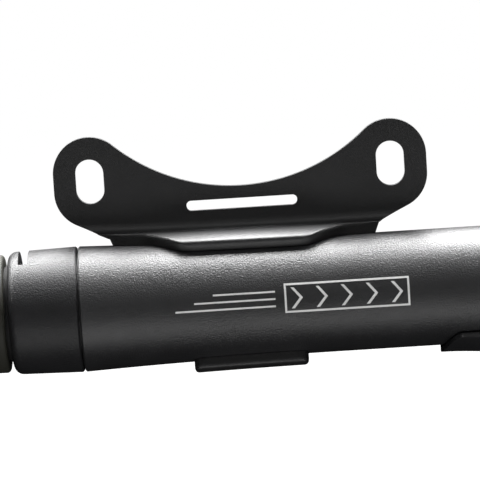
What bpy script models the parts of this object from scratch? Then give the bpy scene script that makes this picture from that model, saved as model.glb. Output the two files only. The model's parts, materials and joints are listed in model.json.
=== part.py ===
"""A hand pump for bicycle tyres, clipped in the bracket that bolts to the frame.

Run with: blender --background --python part.py

Lengths are in metres. The barrel lies along X: the handle pulls out towards -X, and the head with
its thumb lever is at +X. Z points from the barrel to the bracket's bolt slots. The world origin is
the middle of the bracket's flat back face, between the strap slot and the curved top edge.
Places given as an x and a radius are measured from the middle of the bracket along the barrel's axis.
"""

import math

import bmesh
import bpy
from mathutils import Vector

# Clearances
FIT = 0.0003  # between neighbouring pieces that don't move on each other
SLIDE_FIT = 0.00015  # around a pin, a rod or a piston
RUN_GAP = 0.0005  # between a moving piece and what it passes
OVERSHOOT = 0.0010  # how far a cutter runs past what it cuts
CHAMFER = 0.0005  # on the edges of small turned pieces

# Barrel
BARREL_RADIUS = 0.01238
BARREL_WALL = 0.00198
BARREL_LEFT = -0.03525
BARREL_LENGTH = 0.09125
FLARE = 0.00097  # how much wider the barrel is at its handle end
FLARE_LENGTH = 0.050
NECK_DEPTH = 0.00058  # the step down to each threaded neck
LEFT_NECK_LENGTH = 0.00845
RIGHT_NECK_LENGTH = 0.0080

# Collar screwed on the barrel's handle end, with the slot that locks the handle
COLLAR_LENGTH = 0.01475
COLLAR_TAPER = 0.0003
COLLAR_EDGE = 0.0020
COLLAR_LIP = 0.0050  # how far the narrow mouth reaches in
MOUTH_STEP = 0.0015  # the mouth's radius less than the thread's
LOCK_SLOT_WIDTH = 0.0020
LOCK_SLOT_INSET = 0.0025
LOCK_ANGLE = -32.0  # the slot's closed end, in degrees from the top towards the back
ENTRY_ANGLE = 55.0
ENTRY_HALF_ANGLE = 5.0

# Bracket
BOLT_SPACING = 0.064
BOLT_RISE = 0.01195  # from the saddle's top to the bolt slots
BOLT_SLOT_WIDTH = 0.0060
BOLT_SLOT_LENGTH = 0.0095
EAR_RADIUS = 0.0077
EAR_DROP = 0.00215
WAIST_RISE = 0.0092  # from the saddle's top to the middle of the curved edge
FLANK_SLOPE = 0.564
STRAP_SLOT_LENGTH = 0.0236
STRAP_SLOT_WIDTH = 0.0022
STRAP_SLOT_RISE = 0.00547
STRAP_SLOT_CORNER = 0.0010
PLATE_THICKNESS = 0.0020
PLATE_FRONT = 0.0025  # the plate's front face behind the barrel's axis
FRONT_FILLET = 0.0022
BACK_FILLET = 0.0015
SADDLE_WALL = 0.0021
CLIP_GAP = 0.0003
JAW_HALF_WIDTH = 0.0121
SHELF_LEDGE = 0.000424  # how far the shelf stands out past the plate's flank
SHELF_ROUND = 0.0045
SHELF_FRONT_ANGLE = -4.0  # degrees from the top towards the back
SHELF_BACK_ANGLE = 18.0
BACK_JAW_ANGLE = 42.0
PLATE_FOOT = 0.0030  # how deep the plate's outline reaches into the saddle
PLATE_ROOT = 0.0010
PLATE_SINK = 0.00004  # so that the fillets end inside the saddle
UPPER_JAW_ANGLE = -27.0
LOWER_JAW_ANGLE = 208.0
JAW_CORNER = 0.0008

# Handle
STROKE_REST_GAP = 0.0008  # between the collar and the grip when the handle is home
GRIP_STEP = 0.00017  # how much wider the grip is than the barrel
GRIP_LENGTH = 0.0450
GRIP_WALL = 0.00235
GRIP_WAIST = 0.0006
GRIP_END_FLARE = 0.0004
GRIP_EDGE = 0.0008
GRIP_GROOVES = 5
GRIP_GROOVE_DEPTH = 0.0006
GRIP_GROOVE_PITCH = 0.0036
SPIGOT_GAP = 0.0004
CAP_LENGTH = 0.0047
CAP_DOME = 0.0030
CAP_INSET = 0.0004
PLUG_LENGTH = 0.0032
CORE_SETBACK = 0.0028
SCREW_WELL_DEPTH = 0.0120
SCREW_WELL_RADIUS = 0.0075
LUG_RADIUS = 0.0008
LUG_DEPTH = 0.0047

# Rod and piston
ROD_RADIUS = 0.0040
ROD_STEP = 0.00105
ROD_STEP_LENGTH = 0.0043
SCREW_RADIUS = 0.0015
SCREW_HOLE_RADIUS = 0.0017
SCREW_DEPTH = 0.0100
SCREW_HEAD_RADIUS = 0.0034
SCREW_HEAD_HEIGHT = 0.0021
DRIVER_HOLE_RADIUS = 0.0017
DRIVER_HOLE_DEPTH = 0.0013
PISTON_WASHER = 0.0008
HANDLE_WASHER = 0.0012
HANDLE_WASHER_RADIUS = 0.0062
PISTON_END_GAP = 0.0024  # from the cup's lip to the valve seat when the handle is home
PISTON_LENGTH = 0.0072
PISTON_EDGE = 0.0008
PISTON_BOSS_WALL = 0.0022
PISTON_BOSS_LENGTH = 0.0038
CUP_LENGTH = 0.0065
CUP_WALL = 0.0008
CUP_BASE = 0.0011
CUP_LEAN = 0.0004  # how much narrower the cup is at its base than at its lip
CUP_HEEL = 0.0008

# Rod guide in the barrel's handle end
GUIDE_LENGTH = 0.0055
GUIDE_FLANGE = 0.0010
WIPER_WIDTH = 0.0022
WIPER_LENGTH = 0.0018
BUMPER_WIDTH = 0.0040
BUMPER_LENGTH = 0.0020

# Head
HEAD_STEP = 0.00122  # how far the head stands out from the barrel
HEAD_TAIL = 0.0140  # from the valve's axis to the head's end
HEAD_DOME = 0.0045
HEAD_EDGE = 0.0006
HEAD_WALL = 0.0015
SEAL_SECTION = 0.00075
THROAT_WEB = 0.0012  # between the throat and the valve's chamber
BOSS_LEDGE = 0.0002
BOSS_RISE = 0.0039
NOSE_WALL = 0.0024
NOSE_LENGTH = 0.0050
THROAT_RADIUS = 0.0045
THROAT_LENGTH = 0.0073
AIR_HOLE_RADIUS = 0.0013
AIR_HOLE_HEIGHT = 0.0026
SEAT_INSET = 0.0012
SEAT_FLANGE = 0.0011
SEAT_HOLE_RADIUS = 0.0015
SEAT_NOSE = 0.0026
POPPET_RADIUS = 0.0034
POPPET_THICKNESS = 0.0010
POPPET_STEM_RADIUS = 0.0009
POPPET_STEM_LENGTH = 0.0029
SPRING_RADIUS = 0.0019
SPRING_WIRE = 0.00025
SPRING_TURNS = 3

# Port nut, gasket and the plunger that squeezes it
NUT_WALL = 0.0017
NUT_TOP = 0.0017
NUT_EDGE = 0.0010
PORT_EDGE = 0.0008
NUT_RIBS = 20
NUT_RIB_DEPTH = 0.0004
GASKET_HOLE_RADIUS = 0.00385
GASKET_WALL = 0.00125
PORT_GAP = 0.00045  # how much wider the nut's hole is than the gasket's
GASKET_LENGTH = 0.0099
SLIP_RING = 0.0010
PLUNGER_FOOT = 0.0019
PLUNGER_GROOVE = 0.0014
PLUNGER_GROOVE_DEPTH = 0.0012
PLUNGER_SHOULDER = 0.0011
PLUNGER_HEAD = 0.0025
PLUNGER_STEM_RADIUS = 0.0028
PLUNGER_BORE_RADIUS = 0.0013
PLUNGER_BORE_FLOOR = 0.0015
PLUNGER_SIDE_HOLE_RADIUS = 0.0010

# Thumb lever
PIVOT_INSET = 0.0036  # from the head's underside to the pivot
PIVOT_PIN_RADIUS = 0.0015
PIN_EDGE = 0.0003
PIN_INSET = 0.0002
CAM_BASE = 0.0044
CAM_LIFT = 0.0015
LEVER_OPEN_ANGLE = 85.0
HUB_WIDTH = 0.0084
LEVER_REACH = 0.0397  # from the pivot to the tip
LEVER_HALF_ANGLE = 46.0
LEVER_TIP_ROUND = 0.0048
LEVER_TIP_THICKNESS = 0.0010
LEVER_THICKNESS = 0.0024
LEVER_EDGE = 0.0005
LEVER_SWELL = 0.0005  # from the tip's thickness to the middle's
LEVER_RAMP = 0.0040
LEVER_END = 0.0045  # where the wide part stops short of the pivot
WEB_LENGTH = 0.0045  # of the web between the wide part and the hub
WEB_SINK = 0.0006
WEB_HEIGHT = 0.0012

# Sizes and places that follow from those above
BARREL_RIGHT = BARREL_LEFT + BARREL_LENGTH
BORE_RADIUS = BARREL_RADIUS - BARREL_WALL
COLLAR_RIGHT = BARREL_LEFT - FIT
COLLAR_LEFT = COLLAR_RIGHT - COLLAR_LENGTH
NECK_RADIUS = BARREL_RADIUS - NECK_DEPTH
NECK_LEFT_END = BARREL_LEFT - LEFT_NECK_LENGTH
NECK_RIGHT_END = BARREL_RIGHT + RIGHT_NECK_LENGTH
THREAD_RADIUS = NECK_RADIUS + FIT
MOUTH_RADIUS = THREAD_RADIUS - MOUTH_STEP
LIP_INNER_FACE = COLLAR_LEFT + COLLAR_LIP
SPIGOT_RADIUS = MOUTH_RADIUS - SPIGOT_GAP
LOCK_SLOT_LEFT = COLLAR_LEFT + LOCK_SLOT_INSET
LOCK_SLOT_MIDDLE = LOCK_SLOT_LEFT + LOCK_SLOT_WIDTH / 2

ROD_STEP_RADIUS = ROD_RADIUS - ROD_STEP
PISTON_BOSS_RADIUS = ROD_RADIUS + FIT + PISTON_BOSS_WALL
WIPER_RADIUS = ROD_RADIUS + WIPER_WIDTH
BUMPER_RADIUS = ROD_RADIUS + BUMPER_WIDTH
SEAT_FLANGE_RADIUS = BORE_RADIUS - SEAT_INSET

GUIDE_LEFT = LIP_INNER_FACE + FIT
GUIDE_RIGHT = GUIDE_LEFT + GUIDE_FLANGE + GUIDE_LENGTH
BUMPER_RIGHT = GUIDE_RIGHT + FIT + BUMPER_LENGTH

SEAL_MIDDLE = NECK_RIGHT_END + FIT + SEAL_SECTION
HEAD_SHOULDER = SEAL_MIDDLE + SEAL_SECTION + FIT
SEAT_LEFT = HEAD_SHOULDER - FIT - SEAT_FLANGE
SEAT_RIGHT = HEAD_SHOULDER - FIT + SEAT_NOSE
THROAT_END = HEAD_SHOULDER + THROAT_LENGTH
POPPET_LEFT = SEAT_RIGHT + FIT
HEAD_LEFT = BARREL_RIGHT + FIT
CHAMBER_RADIUS = GASKET_HOLE_RADIUS + GASKET_WALL + FIT
PORT_RADIUS = GASKET_HOLE_RADIUS + PORT_GAP
NOSE_RADIUS = CHAMBER_RADIUS + NOSE_WALL
NUT_RADIUS = NOSE_RADIUS + FIT + NUT_WALL
BOSS_RADIUS = NUT_RADIUS + BOSS_LEDGE
VALVE_X = THROAT_END + THROAT_WEB + CHAMBER_RADIUS
HEAD_RIGHT = VALVE_X + HEAD_TAIL
HEAD_RADIUS = BARREL_RADIUS + HEAD_STEP

CUP_RIGHT = SEAT_LEFT - PISTON_END_GAP
CUP_LEFT = CUP_RIGHT - CUP_LENGTH
PISTON_RIGHT = CUP_LEFT - FIT
PISTON_LEFT = PISTON_RIGHT - PISTON_LENGTH
PISTON_BACK = PISTON_LEFT - PISTON_BOSS_LENGTH
ROD_RIGHT = PISTON_LEFT - FIT

GRIP_FRONT = COLLAR_LEFT - STROKE_REST_GAP
GRIP_BACK = GRIP_FRONT - GRIP_LENGTH
GRIP_RADIUS = BARREL_RADIUS + GRIP_STEP
GRIP_INNER_RADIUS = GRIP_RADIUS - GRIP_WALL
CORE_RADIUS = GRIP_INNER_RADIUS - FIT
CORE_BACK = GRIP_BACK + CORE_SETBACK
WELL_FLOOR = CORE_BACK + SCREW_WELL_DEPTH
ROD_LEFT = WELL_FLOOR - FIT
ROD_SHOULDER = ROD_LEFT + ROD_STEP_LENGTH
SPIGOT_RIGHT = LIP_INNER_FACE - 2 * FIT

BOSS_TOP = HEAD_RADIUS + BOSS_RISE
PORT_FACE = BOSS_TOP + NOSE_LENGTH
PIVOT_HEIGHT = PIVOT_INSET - HEAD_RADIUS
PLUNGER_BASE = PIVOT_HEIGHT + CAM_BASE + FIT
PLUNGER_TOP = PORT_FACE - SLIP_RING - GASKET_LENGTH - 2 * FIT
HUB_BOTTOM = PIVOT_INSET + RUN_GAP + LEVER_THICKNESS - FIT
CAM_RATE = CAM_LIFT / math.radians(LEVER_OPEN_ANGLE)
SADDLE_TOP = BARREL_RADIUS + CLIP_GAP + SADDLE_WALL
BOLT_HEIGHT = SADDLE_TOP + BOLT_RISE
WAIST_HEIGHT = SADDLE_TOP + WAIST_RISE
STRAP_SLOT_HEIGHT = SADDLE_TOP + STRAP_SLOT_RISE
EAR_FOOT = BOLT_HEIGHT - EAR_DROP
FLANK_TURN = math.atan(FLANK_SLOPE)
FLANK_TOP_X = BOLT_SPACING / 2 + EAR_RADIUS * math.sin(FLANK_TURN)
FLANK_TOP_Z = EAR_FOOT - EAR_RADIUS * math.cos(FLANK_TURN)
SHELF_LEAN = SADDLE_WALL / FLANK_SLOPE
SHELF_HALF_WIDTH = FLANK_TOP_X - (FLANK_TOP_Z - SADDLE_TOP) / FLANK_SLOPE - SHELF_LEAN + SHELF_LEDGE
SHELF_CORNER = SHELF_HALF_WIDTH - SHELF_ROUND
PLATE_BACK = PLATE_FRONT + PLATE_THICKNESS
MOUNT_HEIGHT = (WAIST_HEIGHT + STRAP_SLOT_HEIGHT + STRAP_SLOT_WIDTH / 2) / 2

ROUND = 48  # sides of the large round pieces
MIDDLE_ROUND = 40
GRIP_ROUND = 36
SMALL_ROUND = 24
PIN_ROUND = 16
CENTRE = (0.0, 0.0, 0.0)


def clear_scene():
    for item in list(bpy.data.objects):
        bpy.data.objects.remove(item, do_unlink=True)


def finish(name, colour, roughness, metallic=0.0):
    """A plain material with one colour, roughness and metallic value."""
    material = bpy.data.materials.new(name)
    material.use_nodes = True
    shader = material.node_tree.nodes["Principled BSDF"]
    shader.inputs["Base Color"].default_value = (*colour, 1.0)
    shader.inputs["Roughness"].default_value = roughness
    shader.inputs["Metallic"].default_value = metallic
    material.diffuse_color = (*colour, 1.0)
    return material


def empty(name, place, parent=None):
    """An unseen parent that marks an axis."""
    marker = bpy.data.objects.new(name, None)
    marker.location = place
    marker.parent = parent
    bpy.context.collection.objects.link(marker)
    return marker


def add_object(name, mesh, parent, material, offset=CENTRE):
    """Make an object of a bmesh drawn about the barrel's axis, less the parent's offset from it."""
    bmesh.ops.remove_doubles(mesh, verts=mesh.verts, dist=1e-7)
    bmesh.ops.recalc_face_normals(mesh, faces=mesh.faces)
    bmesh.ops.translate(mesh, verts=mesh.verts, vec=-Vector(offset))
    data = bpy.data.meshes.new(name)
    mesh.to_mesh(data)
    mesh.free()
    data.shade_smooth()
    data.set_sharp_from_angle(angle=math.radians(35))
    item = bpy.data.objects.new(name, data)
    item.parent = parent
    bpy.context.collection.objects.link(item)
    if material:
        data.materials.append(material)
    return item


def spun(outline, sides, along="X", centre=CENTRE):
    """Spin a closed outline of (place along the axis, radius) points once round that axis."""
    mesh = bmesh.new()
    axis = Vector((1, 0, 0)) if along == "X" else Vector((0, 1, 0)) if along == "Y" else Vector((0, 0, 1))
    out = Vector((1, 0, 0)) if along == "Z" else Vector((0, 0, 1))
    points = [Vector(centre) + axis * place + out * radius for place, radius in outline]
    verts = [mesh.verts.new(point) for point in points]
    edges = []
    for index, vert in enumerate(verts):
        after = (index + 1) % len(verts)
        if outline[index][1] > 0 or outline[after][1] > 0:
            edges.append(mesh.edges.new((vert, verts[after])))
    bmesh.ops.spin(
        mesh, geom=verts + edges, cent=centre, axis=axis, angle=math.tau, steps=sides, use_merge=True
    )
    return mesh


def turned(name, outline, parent, material, sides=ROUND, along="X", centre=CENTRE, offset=CENTRE):
    """A turned piece."""
    return add_object(name, spun(outline, sides, along, centre), parent, material, offset)


def prism(outline, front, back):
    """Extrude a closed outline of (x, z) points from one y to another."""
    mesh = bmesh.new()
    verts = [mesh.verts.new((x, front, z)) for x, z in outline]
    face = mesh.faces.new(verts)
    grown = bmesh.ops.extrude_face_region(mesh, geom=[face])
    moved = [item for item in grown["geom"] if isinstance(item, bmesh.types.BMVert)]
    bmesh.ops.translate(mesh, verts=moved, vec=(0.0, back - front, 0.0))
    return mesh


def skinned(sections):
    """Join closed sections of equal length one to the next, and close both ends."""
    mesh = bmesh.new()
    loops = [[mesh.verts.new(point) for point in section] for section in sections]
    for near, far in zip(loops, loops[1:]):
        for index, vert in enumerate(near):
            after = (index + 1) % len(near)
            mesh.faces.new((vert, near[after], far[after], far[index]))
    mesh.faces.new(loops[0])
    mesh.faces.new(loops[-1])
    return mesh


def wrapped(rows):
    """Skin (x, radius) sections set at angles round the barrel, in degrees from the top to the back."""
    sections = []
    for angle, section in rows:
        turn = math.radians(angle)
        sections.append([(x, radius * math.sin(turn), radius * math.cos(turn)) for x, radius in section])
    return skinned(sections)


def arc(centre, radius, start, stop, steps):
    """Points on an arc between two angles in degrees, both ends included."""
    points = []
    for step in range(steps + 1):
        turn = math.radians(start + (stop - start) * step / steps)
        points.append((centre[0] + radius * math.cos(turn), centre[1] + radius * math.sin(turn)))
    return points


def smooth_step(share):
    return share * share * (3 - 2 * share)


def combine(item, operation, mesh, parent, label, offset=CENTRE):
    """Cut, join or intersect an object with a shape that is not a piece itself."""
    tool = add_object(f"{item.name}_{label}", mesh, parent, None, offset)
    tool.hide_render = True
    tool.display_type = "WIRE"
    modifier = item.modifiers.new(label, "BOOLEAN")
    modifier.operation = operation
    modifier.solver = "EXACT"
    modifier.object = tool
    weld = item.modifiers.new(f"{label}_weld", "WELD")
    weld.merge_threshold = 1e-6


def rounded_slot(centre, half_length, half_width, corner, upright=False):
    """The outline of a slot with round corners, in x and z, lying along x unless upright."""
    points = []
    along = half_length - corner
    across = half_width - corner
    if upright:
        along, across = across, along
    for right, up, start in ((1, 1, 0), (-1, 1, 90), (-1, -1, 180), (1, -1, 270)):
        points += arc((centre[0] + right * along, centre[1] + up * across), corner, start, start + 90, 8)
    unique = []
    for point in points:
        if not unique or math.dist(point, unique[-1]) > 1e-7:
            unique.append(point)
    if math.dist(unique[0], unique[-1]) < 1e-7:
        unique.pop()
    return unique


def barrel_radius_at(x):
    """The barrel's outer radius, which widens gently towards the handle."""
    share = min(max((x - BARREL_LEFT) / FLARE_LENGTH, 0.0), 1.0)
    return BARREL_RADIUS + FLARE * (1 - share) ** 2


def saddle_radius_at(x):
    return barrel_radius_at(x) + CLIP_GAP


def saddle_rows():
    """The saddle as angles with half widths: a wide shelf under the plate that narrows to two jaws."""
    steps = 9
    rows = []
    for step in range(steps + 1):
        share = step / steps
        angle = UPPER_JAW_ANGLE + (SHELF_FRONT_ANGLE - UPPER_JAW_ANGLE) * smooth_step(share)
        rows.append((angle, JAW_HALF_WIDTH + (SHELF_CORNER - JAW_HALF_WIDTH) * share))
    rows += [(angle, SHELF_HALF_WIDTH) for angle in (SHELF_FRONT_ANGLE + 3.0, 7.0, SHELF_BACK_ANGLE - 3.0)]
    for step in range(steps + 1):
        share = step / steps
        angle = SHELF_BACK_ANGLE + (BACK_JAW_ANGLE - SHELF_BACK_ANGLE) * smooth_step(share)
        rows.append((angle, SHELF_CORNER + (JAW_HALF_WIDTH - SHELF_CORNER) * share))
    round_start = LOWER_JAW_ANGLE - math.degrees(JAW_CORNER / SADDLE_TOP)
    around = 22
    rows += [
        (BACK_JAW_ANGLE + (round_start - BACK_JAW_ANGLE) * step / around, JAW_HALF_WIDTH)
        for step in range(1, around + 1)
    ]
    for step in (1, 2, 3):
        share = step / 3
        inset = JAW_CORNER * (1 - math.sqrt(1 - share * share))
        rows.append((round_start + (LOWER_JAW_ANGLE - round_start) * share, JAW_HALF_WIDTH - inset))
    return rows


def saddle_mesh():
    """The shell that grips the barrel. The shelf's ends lean with the plate's flanks."""
    columns = 8
    rows = []
    for angle, half in saddle_rows():
        widened = min(max((half - SHELF_CORNER) / (SHELF_HALF_WIDTH - SHELF_CORNER), 0.0), 1.0)
        outer_half = half + SHELF_LEAN * widened
        shares = [-1 + 2 * column / columns for column in range(columns + 1)]
        outer = [(outer_half * share, saddle_radius_at(half * share) + SADDLE_WALL) for share in shares]
        inner = [(half * share, saddle_radius_at(half * share)) for share in reversed(shares)]
        rows.append((angle, outer + inner))
    return wrapped(rows)


def plate_section(x, top):
    """The plate from the side at one x: two flat faces that run into the saddle with a fillet each."""
    radius = saddle_radius_at(x) + SADDLE_WALL - PLATE_SINK
    front_y = PLATE_FRONT - FRONT_FILLET
    front_z = math.sqrt((radius + FRONT_FILLET) ** 2 - front_y**2)
    back_y = PLATE_BACK + BACK_FILLET
    back_z = math.sqrt((radius + BACK_FILLET) ** 2 - back_y**2)
    front_end = math.degrees(math.atan2(-front_z, -front_y))
    back_end = math.degrees(math.atan2(-back_z, -back_y))
    front = arc((front_y, front_z), FRONT_FILLET, 0, front_end, 6)
    back = arc((back_y, back_z), BACK_FILLET, back_end, -180, 6)
    inner = radius - PLATE_ROOT
    start = math.atan2(front_y, front_z)
    stop = math.atan2(back_y, back_z)
    under = []
    for step in range(5):
        turn = start + (stop - start) * step / 4
        under.append((inner * math.sin(turn), inner * math.cos(turn)))
    outline = [(PLATE_FRONT, top), *front, *under, *back, (PLATE_BACK, top)]
    return [(x, y, z) for y, z in outline]


def plate_outline():
    """The plate from the front, in x and z: two ears, the curved top edge and leaning flanks."""
    side = BOLT_SPACING / 2
    ear_top = BOLT_HEIGHT + (BOLT_SLOT_LENGTH - BOLT_SLOT_WIDTH) / 2
    rise = ear_top - WAIST_HEIGHT
    sweep = (side**2 + rise**2 - EAR_RADIUS**2) / (2 * (EAR_RADIUS + rise))
    meet = math.degrees(math.atan2(WAIST_HEIGHT + sweep - ear_top, -side))
    ear = arc((side, EAR_FOOT), EAR_RADIUS, math.degrees(FLANK_TURN) - 90, 0, 8)
    ear += arc((side, ear_top), EAR_RADIUS, 0, meet, 14)
    foot_z = SADDLE_TOP - PLATE_FOOT
    foot_x = FLANK_TOP_X - (FLANK_TOP_Z - foot_z) / FLANK_SLOPE
    curve = arc((0.0, WAIST_HEIGHT + sweep), sweep, meet - 180, -meet, 24)[1:-1]
    left = [(-x, z) for x, z in reversed(ear)]
    return [(foot_x, foot_z), *ear, *curve, *left, (-foot_x, foot_z)]


def make_bracket(pump_axis, material):
    reach = BOLT_SPACING / 2 + EAR_RADIUS + 2 * OVERSHOOT
    top = BOLT_HEIGHT + EAR_RADIUS + BOLT_SLOT_LENGTH
    stations = 20
    sections = [plate_section(-reach + 2 * reach * step / stations, top) for step in range(stations + 1)]
    bracket = add_object("frame_bracket", skinned(sections), pump_axis, material)
    outline = prism(plate_outline(), -BARREL_RADIUS, BARREL_RADIUS)
    combine(bracket, "INTERSECT", outline, pump_axis, "outline")
    combine(bracket, "UNION", saddle_mesh(), pump_axis, "saddle")
    front = PLATE_FRONT - OVERSHOOT
    back = PLATE_BACK + OVERSHOOT
    for label, side in (("left_bolt_slot", -1), ("right_bolt_slot", 1)):
        slot = rounded_slot(
            (side * BOLT_SPACING / 2, BOLT_HEIGHT),
            BOLT_SLOT_LENGTH / 2,
            BOLT_SLOT_WIDTH / 2,
            BOLT_SLOT_WIDTH / 2,
            upright=True,
        )
        combine(bracket, "DIFFERENCE", prism(slot, front, back), pump_axis, label)
    strap = rounded_slot(
        (0.0, STRAP_SLOT_HEIGHT), STRAP_SLOT_LENGTH / 2, STRAP_SLOT_WIDTH / 2, STRAP_SLOT_CORNER
    )
    combine(bracket, "DIFFERENCE", prism(strap, front, back), pump_axis, "strap_slot")


def make_barrel(pump_axis, material):
    stations = (0.0, 0.05, 0.12, 0.22, 0.35, 0.5, 0.7, 1.0)
    skin = [BARREL_LEFT + FLARE_LENGTH * share for share in stations]
    outline = [(NECK_LEFT_END, BORE_RADIUS), (NECK_LEFT_END, NECK_RADIUS), (BARREL_LEFT, NECK_RADIUS)]
    outline += [(x, barrel_radius_at(x)) for x in skin]
    outline += [(BARREL_RIGHT, BARREL_RADIUS), (BARREL_RIGHT, NECK_RADIUS)]
    outline += [(NECK_RIGHT_END, NECK_RADIUS), (NECK_RIGHT_END, BORE_RADIUS)]
    turned("barrel", outline, pump_axis, material)


def make_collar(pump_axis, material):
    outer = barrel_radius_at(BARREL_LEFT)
    edge = arc((COLLAR_LEFT + COLLAR_EDGE, outer - COLLAR_TAPER - COLLAR_EDGE), COLLAR_EDGE, 180, 90, 5)
    outline = [(COLLAR_LEFT, MOUTH_RADIUS), *edge, (COLLAR_RIGHT, outer), (COLLAR_RIGHT, THREAD_RADIUS)]
    outline += [(LIP_INNER_FACE, THREAD_RADIUS), (LIP_INNER_FACE, MOUTH_RADIUS)]
    collar = turned("collar", outline, pump_axis, material)

    def sector(left, right, start, stop, steps):
        low = MOUTH_RADIUS - OVERSHOOT
        high = outer + 2 * OVERSHOOT
        section = [(left, low), (left, high), (right, high), (right, low)]
        return wrapped([(start + (stop - start) * step / steps, section) for step in range(steps + 1)])

    entry_end = ENTRY_ANGLE + ENTRY_HALF_ANGLE
    slot = sector(LOCK_SLOT_LEFT, LOCK_SLOT_LEFT + LOCK_SLOT_WIDTH, LOCK_ANGLE, entry_end, 14)
    combine(collar, "DIFFERENCE", slot, pump_axis, "lock_slot")
    entry = sector(COLLAR_LEFT - OVERSHOOT, LOCK_SLOT_MIDDLE, ENTRY_ANGLE - ENTRY_HALF_ANGLE, entry_end, 2)
    combine(collar, "DIFFERENCE", entry, pump_axis, "slot_entry")


def make_rod_guide(pump_axis, guide_finish, rubber):
    """The bush that the rod slides in, with its wiper on one side and the stroke's bumper on the other."""
    hole = ROD_RADIUS + SLIDE_FIT
    pocket = WIPER_RADIUS + FIT
    pocket_floor = GUIDE_LEFT + WIPER_LENGTH + 2 * FIT
    flange_right = GUIDE_LEFT + GUIDE_FLANGE
    outline = [(GUIDE_LEFT, pocket), (GUIDE_LEFT, NECK_RADIUS), (flange_right, NECK_RADIUS)]
    outline += [(flange_right, BORE_RADIUS - FIT), (GUIDE_RIGHT, BORE_RADIUS - FIT), (GUIDE_RIGHT, hole)]
    outline += [(pocket_floor, hole), (pocket_floor, pocket)]
    turned("rod_guide", outline, pump_axis, guide_finish, MIDDLE_ROUND)
    wiper_left = GUIDE_LEFT + FIT
    ring = [(wiper_left, hole), (wiper_left, WIPER_RADIUS)]
    ring += [(wiper_left + WIPER_LENGTH, WIPER_RADIUS), (wiper_left + WIPER_LENGTH, hole)]
    turned("rod_wiper", ring, pump_axis, rubber, SMALL_ROUND)
    bumper_left = GUIDE_RIGHT + FIT
    bumper = [(bumper_left, hole + FIT), (bumper_left, BUMPER_RADIUS), (BUMPER_RIGHT, BUMPER_RADIUS)]
    bumper.append((BUMPER_RIGHT, hole + FIT))
    turned("bumper_ring", bumper, pump_axis, rubber, SMALL_ROUND)


def make_barrel_seal(pump_axis, rubber):
    middle = NECK_RADIUS + FIT - SEAL_SECTION - SLIDE_FIT
    outline = arc((SEAL_MIDDLE, middle), SEAL_SECTION, 0, 315, 7)
    turned("barrel_o_ring", outline, pump_axis, rubber, MIDDLE_ROUND)


def cavity_outline():
    """The room for the cam under the head, from the side: a round top over a straight slot."""
    bottom = -HEAD_RADIUS - OVERSHOOT
    round_radius = CAM_BASE + CAM_LIFT + RUN_GAP
    right = HUB_BOTTOM + RUN_GAP
    left = LEVER_END + WEB_LENGTH + 2 * FIT
    top = arc((VALVE_X, PIVOT_HEIGHT), round_radius, 0, 180, 12)
    outline = [(VALVE_X + right, bottom), (VALVE_X + right, PIVOT_HEIGHT), *top]
    outline += [(VALVE_X - left, PIVOT_HEIGHT - WEB_HEIGHT), (VALVE_X - left, bottom)]
    return outline


def make_head(pump_axis, material):
    dome = arc((HEAD_RIGHT - HEAD_DOME, HEAD_RADIUS - HEAD_DOME), HEAD_DOME, 90, 0, 6)
    outline = [(THROAT_END, 0.0), (THROAT_END, THROAT_RADIUS), (HEAD_SHOULDER, THROAT_RADIUS)]
    outline += [(HEAD_SHOULDER, THREAD_RADIUS), (HEAD_LEFT, THREAD_RADIUS)]
    outline += [(HEAD_LEFT, HEAD_RADIUS - HEAD_EDGE), (HEAD_LEFT + HEAD_EDGE, HEAD_RADIUS)]
    outline += [*dome, (HEAD_RIGHT, 0.0)]
    head = turned("head_body", outline, pump_axis, material)
    boss_floor = THROAT_RADIUS + HEAD_WALL
    boss = [(boss_floor, 0.0), (boss_floor, BOSS_RADIUS), (BOSS_TOP - HEAD_EDGE, BOSS_RADIUS)]
    boss += [(BOSS_TOP, BOSS_RADIUS - HEAD_EDGE), (BOSS_TOP, NOSE_RADIUS)]
    boss += [(PORT_FACE, NOSE_RADIUS), (PORT_FACE, 0.0)]
    valve_line = (VALVE_X, 0.0, 0.0)
    combine(head, "UNION", spun(boss, 38, "Z", valve_line), pump_axis, "boss")
    floor = PLUNGER_BASE - 2 * FIT
    roof = PORT_FACE + OVERSHOOT
    chamber = [(floor, 0.0), (floor, CHAMBER_RADIUS), (roof, CHAMBER_RADIUS), (roof, 0.0)]
    combine(head, "DIFFERENCE", spun(chamber, SMALL_ROUND, "Z", valve_line), pump_axis, "chamber")
    half_slot = HUB_WIDTH / 2 + FIT
    combine(head, "DIFFERENCE", prism(cavity_outline(), -half_slot, half_slot), pump_axis, "cam_room")
    start = THROAT_END - OVERSHOOT
    stop = VALVE_X - CHAMBER_RADIUS + OVERSHOOT
    air_hole = [(start, 0.0), (start, AIR_HOLE_RADIUS), (stop, AIR_HOLE_RADIUS), (stop, 0.0)]
    combine(head, "DIFFERENCE", spun(air_hole, 16, "X", (0.0, 0.0, AIR_HOLE_HEIGHT)), pump_axis, "air_hole")
    hole_radius = PIVOT_PIN_RADIUS + SLIDE_FIT
    reach = HEAD_RADIUS + OVERSHOOT
    pin_hole = [(-reach, 0.0), (-reach, hole_radius), (reach, hole_radius), (reach, 0.0)]
    pivot = (VALVE_X, 0.0, PIVOT_HEIGHT)
    combine(head, "DIFFERENCE", spun(pin_hole, PIN_ROUND, "Y", pivot), pump_axis, "pin_hole")


def make_valve_seat(pump_axis, brass):
    nose = THROAT_RADIUS - FIT
    flange_right = SEAT_LEFT + SEAT_FLANGE
    outline = [(SEAT_LEFT, SEAT_HOLE_RADIUS), (SEAT_LEFT, SEAT_FLANGE_RADIUS)]
    outline += [(flange_right, SEAT_FLANGE_RADIUS), (flange_right, nose), (SEAT_RIGHT, nose)]
    outline.append((SEAT_RIGHT, SEAT_HOLE_RADIUS))
    turned("valve_seat", outline, pump_axis, brass, SMALL_ROUND)


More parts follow.
